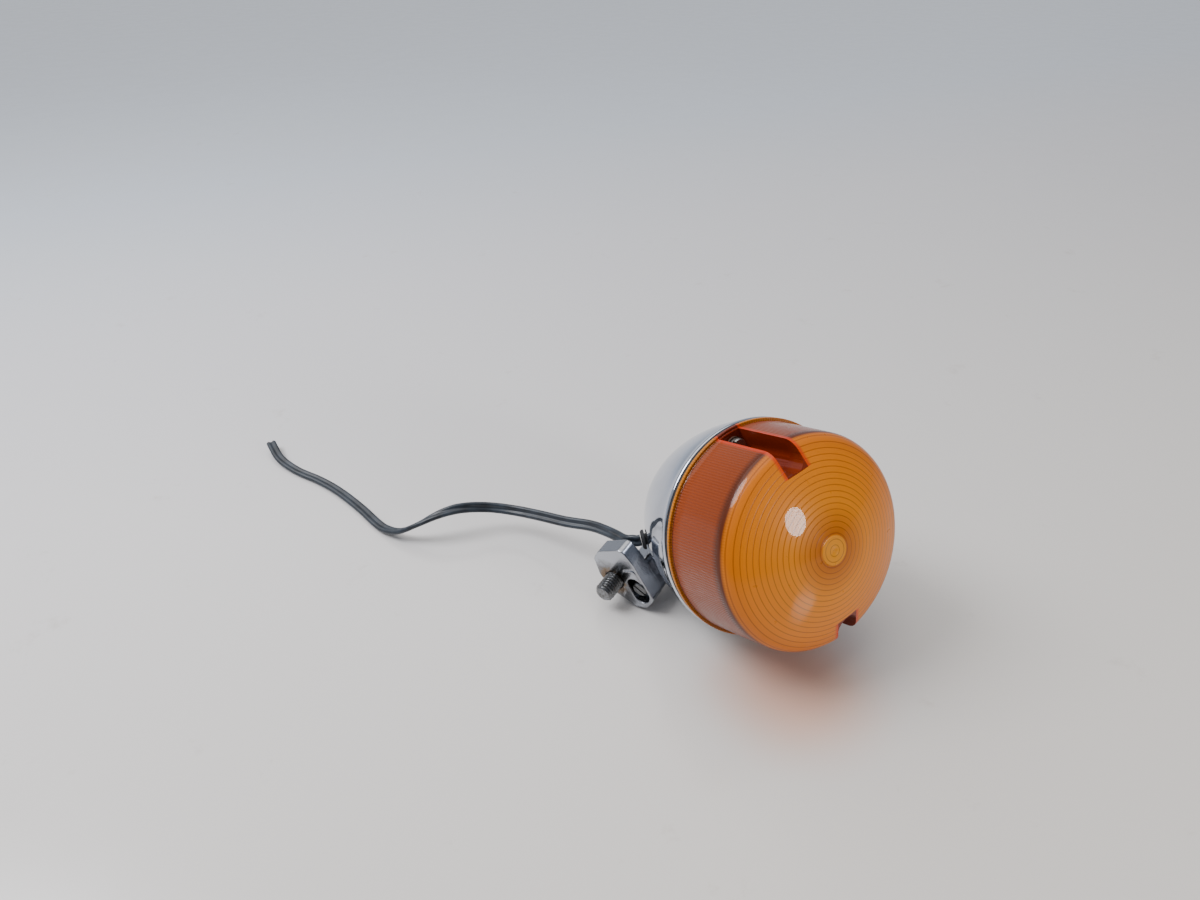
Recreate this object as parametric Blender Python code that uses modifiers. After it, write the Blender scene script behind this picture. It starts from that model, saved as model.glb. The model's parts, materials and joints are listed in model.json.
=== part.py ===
"""Motorcycle turn signal lamp: chromed bowl, amber lens, side mount with a stud, and a two-wire lead.

The lamp lies on its bowl and on the lower end of its mount foot, with the lens facing -Y and tipped up.
Everything is in metres and +Z is up. The lamp's own frame has its origin at the centre of the bowl's
mouth, +Z out through the lens and +X level; the mount's frame has +Z out along the foot's stud.
"""

import math

import bmesh
import bpy
from mathutils import Matrix, Vector

MM = 0.001
GAP = 0.3 * MM

# Where the lamp lies
NOSE_UP = math.radians(22.85)
LAMP_PLACE = (6.0 * MM, -4.2 * MM, 41.6 * MM)

# Bowl
MOUTH_R = 41.5 * MM
BOWL_R = 40.9 * MM
BOWL_DEPTH = 55.2 * MM
BOWL_POWER = 1.59
WALL = 0.6 * MM
LIP_H = 1.8 * MM

# Lens
LENS_BACK = 1.3 * MM
FLANGE_H = 1.3 * MM
SIDE_R_BACK = 40.3 * MM
SIDE_R_FRONT = 39.2 * MM
SIDE_TOP = 27.5 * MM
SHOULDER_R = 6.2 * MM
SHOULDER_TURN = math.radians(66.2)
DOME_R = 87.4 * MM
DOME_TOP = 40.7 * MM
LENS_WALL = 3.4 * MM
CHANNEL_ANGLES = (math.radians(101.8), math.radians(281.8))
CHANNEL_W = 9.0 * MM
CHANNEL_IN_R = 29.5 * MM
CHANNEL_FLOOR = 3.4 * MM
CHANNEL_WALL = 1.8 * MM

# Lens screws
SCREW_R = 35.0 * MM
SCREW_SHANK_R = 1.75 * MM
SCREW_HEAD_R = 3.2 * MM
SCREW_HEAD_H = 2.2 * MM
SCREW_LENGTH = 13.0 * MM
SLOT_W = 0.9 * MM
WASHER_H = 0.8 * MM
POST_R = 3.0 * MM
POST_TOP = -1.6 * MM

# Reflector and socket
REFLECTOR_R = 39.4 * MM
DISH_R = 30.0 * MM
DISH_HOLE_R = 9.2 * MM
DISH_FLAT_R = 13.6 * MM
DISH_FLOOR = -32.0 * MM
SHEET = 0.5 * MM
SOCKET_R = 8.5 * MM
SOCKET_WALL = 0.6 * MM
SOCKET_MOUTH = -21.0 * MM
SOCKET_END = -47.0 * MM
SOCKET_FLANGE_Z = -33.1 * MM
RIVET_R = 1.1 * MM
RIVET_AT_R = 11.5 * MM
HOOK_ANGLES = (math.radians(30), math.radians(210))

# Bulb
BASE_R = 7.4 * MM
BASE_TOP = -18.0 * MM
BASE_END = -37.0 * MM
GLOBE_R = 12.6 * MM
GLOBE_Z = -2.0 * MM
GLASS = 0.6 * MM
PIN_Z = -28.6 * MM
BULB_TRAVEL = 1.6 * MM

# Mount: the foot's pocket centre is the origin of its frame
MOUNT_ANGLE = math.radians(198.35)
MOUNT_LEAN = math.radians(20)
MOUNT_OUT = 44.0 * MM
MOUNT_ALONG = -30.6 * MM
MOUNT_SIDE = -7.0 * MM
FOOT_T = 7.0 * MM
STUD_R = 4.0 * MM
STUD_OUT = 8.4 * MM
STUD_AT = (-5.0 * MM, -10.5 * MM)
POCKET_W = 7.4 * MM
POCKET_L = 12.6 * MM
POCKET_DEPTH = 4.0 * MM
PAD_H = 0.6 * MM
CLAMP_SHANK_R = 2.0 * MM
CLAMP_HEAD_R = 3.2 * MM
CLAMP_HEAD_H = 2.4 * MM
NECK_SCREW_R = 1.5 * MM
NECK_SCREW_IN = 3.2 * MM
NECK_SCREWS = ((math.radians(201), -36.5 * MM), (math.radians(222), -36.5 * MM))

FOOT_CORNERS = (
    (-20.0 * MM, -10.5 * MM),
    (-20.6 * MM, 2.6 * MM),
    (-13.0 * MM, 4.6 * MM),
    (5.6 * MM, 4.6 * MM),
    (9.6 * MM, -1.5 * MM),
    (9.0 * MM, -6.6 * MM),
    (1.0 * MM, -14.6 * MM),
    (-8.0 * MM, -17.0 * MM),
    (-16.5 * MM, -15.0 * MM),
)
PAD_CORNERS = (
    (-10.4 * MM, 3.6 * MM),
    (-10.4 * MM, -2.0 * MM),
    (-6.6 * MM, -5.6 * MM),
    (0.2 * MM, -7.2 * MM),
    (3.2 * MM, -10.4 * MM),
    (8.0 * MM, -6.0 * MM),
    (8.6 * MM, -1.6 * MM),
    (5.0 * MM, 3.6 * MM),
)
NECK_CORNERS = (
    (-8.6 * MM, -7.0 * MM),
    (-9.4 * MM, 3.6 * MM),
    (6.0 * MM, 3.8 * MM),
    (8.6 * MM, -1.0 * MM),
    (7.6 * MM, -6.0 * MM),
    (2.0 * MM, -8.0 * MM),
)

# Lead
WIRE_R = 1.1 * MM
WIRE_PITCH = 2.5 * MM
GROMMET_ANGLE = math.radians(183)
GROMMET_Z = -32.0 * MM
GROMMET_R = 3.4 * MM
LEAD_POINTS = 50
# The lead's middle line from its exit to its cut end, in millimetres from the table point under the
# mouth's centre, with the lean of its flat side in degrees
LEAD_ROUTE = (
    ((-34.4, 30.6, 27.3), 72),
    ((-37.2, 34.2, 25.6), 72),
    ((-38.0, 43.6, 22.7), 65),
    ((-41.0, 54.8, 20.0), 55),
    ((-47.4, 66.2, 17.0), 50),
    ((-53.6, 78.4, 14.4), 50),
    ((-60.4, 89.8, 12.2), 55),
    ((-69.8, 97.4, 12.6), 60),
    ((-81.4, 101.0, 14.2), 40),
    ((-91.0, 103.4, 12.8), 0),
    ((-99.8, 106.4, 8.8), -30),
    ((-106.8, 111.4, 4.4), -20),
    ((-111.2, 119.0, 2.0), 0),
    ((-113.6, 127.6, 1.5), 0),
    ((-115.4, 137.0, 1.4), 0),
    ((-118.2, 148.4, 1.4), 0),
    ((-122.2, 161.4, 1.4), 0),
    ((-127.4, 173.4, 1.4), 0),
    ((-134.0, 185.6, 1.4), 0),
    ((-139.0, 199.4, 2.2), 0),
    ((-140.0, 213.4, 4.0), 0),
)

SIDES = 48


def clear_scene():
    for old in list(bpy.data.objects):
        bpy.data.objects.remove(old, do_unlink=True)


def new_collection(name):
    made = bpy.data.collections.new(name)
    bpy.context.scene.collection.children.link(made)
    return made


clear_scene()
LAMP = new_collection("turn_signal_lamp")
CUTTERS = new_collection("cutters")


def material(name, rgb, metallic, roughness, transmission=0.0):
    made = bpy.data.materials.new(name)
    made.use_nodes = True
    shader = made.node_tree.nodes["Principled BSDF"]
    shader.inputs["Base Color"].default_value = (*rgb, 1.0)
    shader.inputs["Metallic"].default_value = metallic
    shader.inputs["Roughness"].default_value = roughness
    shader.inputs["Transmission Weight"].default_value = transmission
    made.diffuse_color = (*rgb, 1.0)
    return made


CHROME = material("chrome plate", (0.62, 0.64, 0.68), 1.0, 0.08)
CAST_CHROME = material("chromed die casting", (0.55, 0.57, 0.61), 1.0, 0.16)
AMBER = material("amber acrylic", (0.85, 0.27, 0.02), 0.0, 0.12, 0.8)
DARK_STEEL = material("black oxide steel", (0.10, 0.10, 0.11), 1.0, 0.42)
ZINC_STEEL = material("zinc plated steel", (0.56, 0.55, 0.52), 1.0, 0.32)
BRASS = material("brass", (0.72, 0.52, 0.22), 1.0, 0.28)
BRIGHT = material("bright dipped aluminium", (0.80, 0.80, 0.81), 1.0, 0.15)
CLEAR = material("clear glass", (0.93, 0.95, 0.95), 0.0, 0.03, 1.0)
FIBRE = material("brown fibre", (0.22, 0.10, 0.05), 0.0, 0.7)
SOLDER = material("solder", (0.48, 0.48, 0.47), 1.0, 0.45)
TUNGSTEN = material("tungsten", (0.30, 0.30, 0.31), 1.0, 0.5)
RUBBER = material("black rubber", (0.02, 0.02, 0.02), 0.0, 0.75)
VINYL = material("black vinyl", (0.025, 0.027, 0.03), 0.0, 0.42)


def new_empty(name, parent, place, turn=None):
    made = bpy.data.objects.new(name, None)
    made.empty_display_size = 0.01
    LAMP.objects.link(made)
    made.parent = parent
    made.location = place
    if turn is not None:
        made.rotation_euler = turn.to_euler()
    return made


lamp = new_empty("lamp_frame", None, LAMP_PLACE, Matrix.Rotation(math.radians(90) - NOSE_UP, 3, "X"))
lens_slide = new_empty("lens_slide", lamp, (0, 0, 0))
bulb_slide = new_empty("bulb_slide", lamp, (0, 0, 0))

outward = Vector((math.cos(MOUNT_ANGLE), math.sin(MOUNT_ANGLE), 0))
upward = Vector((math.sin(MOUNT_ANGLE), -math.cos(MOUNT_ANGLE), 0))
mount_z = outward * math.cos(MOUNT_LEAN) + Vector((0, 0, math.sin(MOUNT_LEAN)))
mount_x = -upward
mount_y = mount_z.cross(mount_x)
mount_turn = Matrix((mount_x, mount_y, mount_z)).transposed()
mount_place = outward * MOUNT_OUT + upward * MOUNT_SIDE + Vector((0, 0, MOUNT_ALONG))
mount = new_empty("mount_frame", lamp, mount_place, mount_turn)
foot_hinge = new_empty("foot_hinge", mount, (0, 0, 0))


def put(obj, name, skin, parent, place=(0, 0, 0), turn=(0, 0, 0), smooth=True):
    """Names an object, gives it its material, and hangs it on an empty."""
    obj.name = name
    obj.data.name = name
    obj.data.materials.clear()
    obj.data.materials.append(skin)
    if obj.name not in LAMP.objects:
        LAMP.objects.link(obj)
    obj.parent = parent
    obj.location = place
    obj.rotation_euler = turn
    if smooth and obj.type == "MESH":
        obj.data.shade_smooth()
    return obj


def as_cutter(obj, parent, place=(0, 0, 0), turn=(0, 0, 0)):
    if obj.name in LAMP.objects:
        LAMP.objects.unlink(obj)
    if obj.name not in CUTTERS.objects:
        CUTTERS.objects.link(obj)
    obj.parent = parent
    obj.location = place
    obj.rotation_euler = turn
    obj.hide_render = True
    obj.display_type = "WIRE"
    return obj


def revolved(profile, edges, steps):
    """The surface that a profile in the XZ plane makes when it turns once round Z."""
    mesh = bpy.data.meshes.new("profile")
    mesh.from_pydata([(r, 0, z) for r, z in profile], edges, [])
    obj = bpy.data.objects.new("revolved", mesh)
    CUTTERS.objects.link(obj)
    screw = obj.modifiers.new("turn", "SCREW")
    screw.steps = steps
    screw.render_steps = steps
    screw.use_merge_vertices = True
    screw.merge_threshold = 0.00001
    return finished(obj)


def turned(profile, steps=SIDES):
    """A solid of revolution: from pole to pole, or a ring whose last point joins its first."""
    edges = [(i, i + 1) for i in range(len(profile) - 1)]
    if profile[0][0] > 0.00001:
        edges.append((len(profile) - 1, 0))
    return revolved(profile, edges, steps)


def turned_shell(outer, inner, steps=SIDES):
    """A cup: its outer and its inner profile, each from the rim to the pole."""
    profile = [*outer, *reversed(inner)]
    edges = [(i, i + 1) for i in range(len(profile) - 1) if i != len(outer) - 1]
    edges.append((len(profile) - 1, 0))
    return revolved(profile, edges, steps)


def finished(obj):
    """The same object with its modifiers worked out and its faces turned outwards."""
    depsgraph = bpy.context.evaluated_depsgraph_get()
    mesh = bpy.data.meshes.new_from_object(obj.evaluated_get(depsgraph))
    made = bpy.data.objects.new("solid", mesh)
    shell = bmesh.new()
    shell.from_mesh(mesh)
    bmesh.ops.remove_doubles(shell, verts=shell.verts, dist=0.000002)
    bmesh.ops.recalc_face_normals(shell, faces=shell.faces)
    if shell.calc_volume(signed=True) < 0:
        bmesh.ops.reverse_faces(shell, faces=shell.faces)
    shell.to_mesh(mesh)
    shell.free()
    bpy.data.objects.remove(obj, do_unlink=True)
    LAMP.objects.link(made)
    return made


def cylinder(radius, low, high, sides=32):
    mesh = bpy.data.meshes.new("cylinder")
    body = bmesh.new()
    middle = Matrix.Translation((0, 0, (low + high) / 2))
    bmesh.ops.create_cone(
        body, cap_ends=True, segments=sides, radius1=radius, radius2=radius, depth=high - low, matrix=middle
    )
    body.to_mesh(mesh)
    body.free()
    obj = bpy.data.objects.new("cylinder", mesh)
    LAMP.objects.link(obj)
    return obj


def block(size, middle=(0, 0, 0)):
    mesh = bpy.data.meshes.new("block")
    body = bmesh.new()
    place = Matrix.Translation(middle) @ Matrix.Diagonal((*size, 1))
    bmesh.ops.create_cube(body, size=1, matrix=place)
    body.to_mesh(mesh)
    body.free()
    obj = bpy.data.objects.new("block", mesh)
    LAMP.objects.link(obj)
    return obj


def plate(outline, low, high):
    """A flat outline extruded from low to high along Z."""
    curve = bpy.data.curves.new("outline", "CURVE")
    curve.dimensions = "2D"
    curve.fill_mode = "BOTH"
    curve.extrude = (high - low) / 2
    spline = curve.splines.new("POLY")
    spline.points.add(len(outline) - 1)
    for point, (x, y) in zip(spline.points, outline):
        point.co = (x, y, 0, 1)
    spline.use_cyclic_u = True
    obj = bpy.data.objects.new("plate", curve)
    CUTTERS.objects.link(obj)
    made = finished(obj)
    made.data.transform(Matrix.Translation((0, 0, (low + high) / 2)))
    return made


def tube(points, radius, bevel_resolution=2):
    curve = bpy.data.curves.new("tube", "CURVE")
    curve.dimensions = "3D"
    curve.bevel_depth = radius
    curve.bevel_resolution = bevel_resolution
    curve.use_fill_caps = True
    spline = curve.splines.new("POLY")
    spline.points.add(len(points) - 1)
    for point, place in zip(spline.points, points):
        point.co = (*place, 1)
    obj = bpy.data.objects.new("tube", curve)
    CUTTERS.objects.link(obj)
    return finished(obj)


def boolean(obj, other, operation):
    """Works the other solid into this one and drops the other."""
    bpy.context.view_layer.update()
    step = obj.modifiers.new(operation.lower(), "BOOLEAN")
    step.operation = operation
    step.solver = "EXACT"
    step.object = other
    depsgraph = bpy.context.evaluated_depsgraph_get()
    mesh = bpy.data.meshes.new_from_object(obj.evaluated_get(depsgraph))
    obj.modifiers.clear()
    obj.data = mesh
    bpy.data.objects.remove(other, do_unlink=True)
    return tidy(obj)


def moved(obj, matrix):
    obj.data.transform(matrix)
    return obj


def tidy(obj):
    """Joins the points that a boolean leaves almost on each other."""
    shell = bmesh.new()
    shell.from_mesh(obj.data)
    bmesh.ops.triangulate(shell, faces=shell.faces)
    bmesh.ops.remove_doubles(shell, verts=shell.verts, dist=0.000002)
    bmesh.ops.dissolve_degenerate(shell, edges=shell.edges, dist=0.000001)
    shell.to_mesh(obj.data)
    shell.free()
    return obj


def rounded(corners, radius, steps=4):
    """An outline with an arc at every corner."""
    points = []
    count = len(corners)
    for i, corner in enumerate(corners):
        here = Vector(corner)
        before = (Vector(corners[i - 1]) - here).normalized()
        after = (Vector(corners[(i + 1) % count]) - here).normalized()
        half = before.angle(after) / 2
        reach = radius / math.tan(half)
        centre = here + (before + after).normalized() * (radius / math.sin(half))
        start = here + before * reach - centre
        end = here + after * reach - centre
        sweep = start.angle_signed(end)
        for k in range(steps + 1):
            turn = Matrix.Rotation(-sweep * k / steps, 2)
            points.append(tuple(centre + turn @ start))
    return points


def bowl_r(z):
    """The bowl's outer radius at a depth z behind its mouth."""
    depth = min(max(-z / BOWL_DEPTH, 0.0), 1.0)
    return BOWL_R * math.sqrt(max(1 - depth**BOWL_POWER, 0.0))


def bowl_line(inset, rings=13):
    """The bowl's profile from its mouth to its pole, moved inwards by the inset."""
    line = []
    for k in range(rings):
        z = -BOWL_DEPTH * math.sin(math.pi / 2 * k / rings)
        slope = (bowl_r(z) - bowl_r(z - 0.0001)) / 0.0001
        inward = Vector((-1, slope)).normalized() if k else Vector((-1, 0))
        line.append((bowl_r(z) + inward.x * inset, z + inward.y * inset))
    line.append((0, -BOWL_DEPTH + inset))
    return line


def bowl_solid(inset, top=0.0):
    """The filled bowl, grown where the inset is negative."""
    line = [point for point in bowl_line(inset) if point[1] < top - 0.0002]
    return turned([(0, top), (bowl_r(0) - inset, top), *line], SIDES)


def make_shell():
    lip = [(MOUTH_R, -GAP), (MOUTH_R, -LIP_H), (BOWL_R + 0.1 * MM, -LIP_H - 0.6 * MM)]
    outer = [point for point in bowl_line(0) if point[1] < -LIP_H - 1.0 * MM]
    inner = [point for point in bowl_line(WALL) if point[1] < -LIP_H]
    shell = turned_shell([*lip, *outer], [(BOWL_R - WALL, -GAP), *inner])
    hole = cylinder(GROMMET_R - 0.8 * MM, -8 * MM, 8 * MM, 24)
    boolean(shell, moved(hole, on_bowl(GROMMET_ANGLE, GROMMET_Z)), "DIFFERENCE")
    for spot in NECK_SCREWS:
        hole = cylinder(NECK_SCREW_R + GAP, -5 * MM, 5 * MM, 20)
        boolean(shell, moved(hole, on_bowl(*spot)), "DIFFERENCE")
    return put(tidy(shell), "housing_shell", CHROME, lamp)


def mount_matrix():
    return Matrix.Translation(mount_place) @ mount_turn.to_4x4()


def on_bowl(angle, z):
    """Places a solid on the bowl's side with its Z along the surface's outward direction."""
    radius = bowl_r(z)
    slope = (bowl_r(z + 0.0005) - bowl_r(z - 0.0005)) / 0.001
    side = Vector((math.cos(angle), math.sin(angle), 0))
    normal = (side - Vector((0, 0, slope))).normalized()
    across = Vector((-side.y, side.x, 0))
    turn = Matrix((across, normal.cross(across), normal)).transposed()
    return Matrix.Translation(side * radius + Vector((0, 0, z))) @ turn.to_4x4()


def lens_outer():
    """The lens's outer profile from its pole to the back of its flange."""
    centre = (SIDE_R_FRONT - SHOULDER_R, SIDE_TOP)
    edge_r = centre[0] + SHOULDER_R * math.cos(SHOULDER_TURN)
    line = []
    for k in range(6):
        r = edge_r * k / 6
        line.append((r, DOME_TOP - DOME_R + math.sqrt(DOME_R**2 - r**2)))
    for k in range(5):
        turn = SHOULDER_TURN * (1 - k / 4)
        line.append((centre[0] + SHOULDER_R * math.cos(turn), centre[1] + SHOULDER_R * math.sin(turn)))
    flange_top = LENS_BACK + FLANGE_H
    line += [(SIDE_R_BACK, flange_top + 0.3 * MM), (MOUTH_R, flange_top), (MOUTH_R, LENS_BACK)]
    return line


def lens_inner():
    """The same profile one wall further in, from the flange's inner edge to the pole."""
    line = [(SIDE_R_BACK - LENS_WALL, LENS_BACK)]
    centre = (SIDE_R_FRONT - SHOULDER_R, SIDE_TOP)
    inner_r = SHOULDER_R - LENS_WALL
    for k in range(4):
        turn = SHOULDER_TURN * k / 3
        line.append((centre[0] + inner_r * math.cos(turn), centre[1] + inner_r * math.sin(turn)))
    dome_r = DOME_R - LENS_WALL
    edge_r = line[-1][0]
    for k in range(1, 5):
        r = edge_r * (1 - k / 4)
        line.append((r, DOME_TOP - DOME_R + math.sqrt(dome_r**2 - r**2)))
    return line


def channel_outline(grow):
    """A slot from the channel's round inner end straight out past the lens."""
    half = CHANNEL_W / 2 + grow
    centre_x = CHANNEL_IN_R + CHANNEL_W / 2
    arc = []
    for k in range(11):
        turn = math.radians(90) + math.radians(180) * k / 10
        arc.append((centre_x + half * math.cos(turn), half * math.sin(turn)))
    return [*arc, (MOUTH_R + 4 * MM, -half), (MOUTH_R + 4 * MM, half)]


def make_lens():
    outer = lens_outer()
    lens = turned_shell(outer[::-1], lens_inner(), 48)
    for angle in CHANNEL_ANGLES:
        turn = Matrix.Rotation(angle, 4, "Z")
        wall = plate(channel_outline(CHANNEL_WALL), LENS_BACK, DOME_TOP)
        envelope = turned([*outer, (0, LENS_BACK)])
        boolean(moved(wall, turn), envelope, "INTERSECT")
        boolean(lens, wall, "UNION")
    for angle in CHANNEL_ANGLES:
        turn = Matrix.Rotation(angle, 4, "Z")
        slot = plate(channel_outline(0), CHANNEL_FLOOR, DOME_TOP + 5 * MM)
        boolean(lens, moved(slot, turn), "DIFFERENCE")
        hole = cylinder(SCREW_SHANK_R + GAP, 0, CHANNEL_FLOOR + 2 * MM, 24)
        boolean(lens, moved(hole, turn @ Matrix.Translation((SCREW_R, 0, 0))), "DIFFERENCE")
    return put(tidy(lens), "lens", AMBER, lens_slide)


def make_gasket():
    gasket = turned([(41.2 * MM, 1.0 * MM), (41.2 * MM, 0), (37.9 * MM, 0), (37.9 * MM, 1.0 * MM)], 48)
    for angle in CHANNEL_ANGLES:
        hole = cylinder(SCREW_SHANK_R + GAP, -5 * MM, 5 * MM, 20)
        place = Matrix.Rotation(angle, 4, "Z") @ Matrix.Translation((SCREW_R, 0, 0))
        boolean(gasket, moved(hole, place), "DIFFERENCE")
    put(tidy(gasket), "lens_gasket", RUBBER, lamp)


def slotted_screw(head_r, head_h, shank_r, length, slot_depth):
    """A cheese-head screw. Its head stands on the origin and its shank runs down."""
    body = turned(
        [
            (0, head_h),
            (head_r - 0.4 * MM, head_h),
            (head_r, head_h - 0.4 * MM),
            (head_r, 0),
            (shank_r, 0),
            (shank_r, -length + 0.5 * MM),
            (shank_r - 0.5 * MM, -length),
            (0, -length),
        ],
        24,
    )
    slot = block((2.4 * head_r, SLOT_W, slot_depth * 2), (0, 0, head_h))
    return tidy(boolean(body, slot, "DIFFERENCE"))


def make_lens_screws():
    for number, angle in enumerate(CHANNEL_ANGLES, 1):
        spot = (SCREW_R * math.cos(angle), SCREW_R * math.sin(angle))
        washer_low = CHANNEL_FLOOR + GAP
        ring = [(SCREW_HEAD_R + 0.5 * MM, WASHER_H), (SCREW_HEAD_R + 0.5 * MM, 0)]
        ring += [(SCREW_SHANK_R + GAP, 0), (SCREW_SHANK_R + GAP, WASHER_H)]
        put(turned(ring, 24), f"washer_{number}", FIBRE, lens_slide, (*spot, washer_low))
        head_low = washer_low + WASHER_H + GAP
        screw = slotted_screw(SCREW_HEAD_R, SCREW_HEAD_H, SCREW_SHANK_R, SCREW_LENGTH, 1.1 * MM)
        put(screw, f"lens_screw_{number}", ZINC_STEEL, lens_slide, (*spot, head_low), (0, 0, angle + 0.5))


def make_posts():
    for number, angle in enumerate(CHANNEL_ANGLES, 1):
        post = cylinder(POST_R, -50 * MM, POST_TOP, 24)
        place = Matrix.Rotation(angle, 4, "Z") @ Matrix.Translation((SCREW_R, 0, 0))
        moved(post, place)
        boolean(post, bowl_solid(WALL + GAP), "INTERSECT")
        hole = cylinder(SCREW_SHANK_R + GAP, -9.5 * MM, 5 * MM, 20)
        boolean(post, moved(hole, place), "DIFFERENCE")
        put(tidy(post), f"lens_post_{number}", ZINC_STEEL, lamp)


def make_reflector():
    dish_depth = (DISH_R**2 - DISH_FLAT_R**2) / (-GAP - DISH_FLOOR)
    outer = [(REFLECTOR_R, -GAP - SHEET)]
    inner = [(REFLECTOR_R, -GAP)]
    for k in range(7):
        r = DISH_R + (DISH_FLAT_R - DISH_R) * k / 6
        z = DISH_FLOOR + (r**2 - DISH_FLAT_R**2) / dish_depth
        inner.append((r, z))
        lean = Vector((2 * r / dish_depth, -1)).normalized() * SHEET
        drop = (r, z - SHEET) if k in (0, 6) else (r + lean.x, z + lean.y)
        outer.append(drop if k else (r + lean.x, -GAP - SHEET))
    outer.append((DISH_HOLE_R, DISH_FLOOR - SHEET))
    inner.append((DISH_HOLE_R, DISH_FLOOR))
    dish = turned([*inner, *reversed(outer)][::-1], 40)
    for angle in CHANNEL_ANGLES:
        place = Matrix.Rotation(angle, 4, "Z") @ Matrix.Translation((SCREW_R, 0, 0))
        hole = cylinder(SCREW_SHANK_R + GAP, -5 * MM, 5 * MM, 20)
        boolean(dish, moved(hole, place), "DIFFERENCE")
    cut_rivet_holes(dish)
    put(tidy(dish), "reflector", BRIGHT, lamp)


def rivet_places():
    for angle in HOOK_ANGLES:
        turn = angle + math.radians(90)
        yield (RIVET_AT_R * math.cos(turn), RIVET_AT_R * math.sin(turn))


def cut_rivet_holes(obj):
    for x, y in rivet_places():
        hole = cylinder(RIVET_R + 0.15 * MM, -40 * MM, -28 * MM, 16)
        boolean(obj, moved(hole, Matrix.Translation((x, y, 0))), "DIFFERENCE")


def make_socket():
    inner_r = SOCKET_R - SOCKET_WALL
    flange_r = DISH_FLAT_R - 0.6 * MM
    lip_r = 2.6 * MM
    profile = [
        (SOCKET_R, SOCKET_MOUTH),
        (SOCKET_R, SOCKET_FLANGE_Z),
        (flange_r, SOCKET_FLANGE_Z),
        (flange_r, SOCKET_FLANGE_Z - SHEET),
        (SOCKET_R, SOCKET_FLANGE_Z - SHEET),
        (SOCKET_R, SOCKET_END),
        (lip_r, SOCKET_END),
        (lip_r, SOCKET_END + SOCKET_WALL),
        (inner_r, SOCKET_END + SOCKET_WALL),
        (inner_r, SOCKET_MOUTH),
    ]
    socket = turned(profile, 32)
    for angle in HOOK_ANGLES:
        turn = Matrix.Rotation(angle, 4, "Z")
        down = block((3 * MM, 2.6 * MM, 11.6 * MM), (SOCKET_R, 5.0 * MM, -26.2 * MM))
        across = block((3 * MM, 7.6 * MM, 4.9 * MM), (SOCKET_R, 2.5 * MM, -29.55 * MM))
        boolean(down, across, "UNION")
        boolean(socket, moved(down, turn), "DIFFERENCE")
    cut_rivet_holes(socket)
    put(tidy(socket), "socket_shell", BRASS, lamp)
    disc = [(inner_r - GAP, 1.2 * MM), (inner_r - GAP, 0), (lip_r, 0), (lip_r, 1.2 * MM)]
    put(turned(disc, 32), "socket_insulator", FIBRE, lamp, (0, 0, SOCKET_END + SOCKET_WALL + GAP))
    for number, (x, y) in enumerate(rivet_places(), 1):
        top = DISH_FLOOR + GAP
        low = SOCKET_FLANGE_Z - SHEET - GAP
        profile = [
            (0, top + 0.6 * MM),
            (1.3 * MM, top + 0.5 * MM),
            (1.9 * MM, top),
            (RIVET_R, top),
            (RIVET_R, low),
            (1.7 * MM, low),
            (1.1 * MM, low - 0.5 * MM),
            (0, low - 0.5 * MM),
        ]
        put(turned(profile, 16), f"socket_rivet_{number}", ZINC_STEEL, lamp, (x, y, 0))


def make_contact():
    """The sprung centre contact, and its spring as short as a pushed bulb makes it."""
    top = BASE_END - 1.3 * MM
    profile = [
        (0, top),
        (2.0 * MM, top),
        (2.0 * MM, top - 0.8 * MM),
        (5.6 * MM, top - 0.8 * MM),
        (5.6 * MM, top - 1.6 * MM),
        (1.0 * MM, top - 1.6 * MM),
        (1.0 * MM, SOCKET_END + 1.0 * MM),
        (0, SOCKET_END + 1.0 * MM),
    ]
    put(turned(profile, 24), "contact_button", BRASS, bulb_slide)
    low = SOCKET_END + SOCKET_WALL + GAP + 1.2 * MM + GAP + 0.4 * MM
    high = top - 1.6 * MM - BULB_TRAVEL - GAP - 0.4 * MM
    turns = 2
    count = turns * 12
    points = []
    for k in range(count + 1):
        turn = 2 * math.pi * turns * k / count
        points.append((4.4 * MM * math.cos(turn), 4.4 * MM * math.sin(turn), low + (high - low) * k / count))
    put(tube(points, 0.35 * MM, 1), "socket_spring", ZINC_STEEL, lamp)


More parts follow.
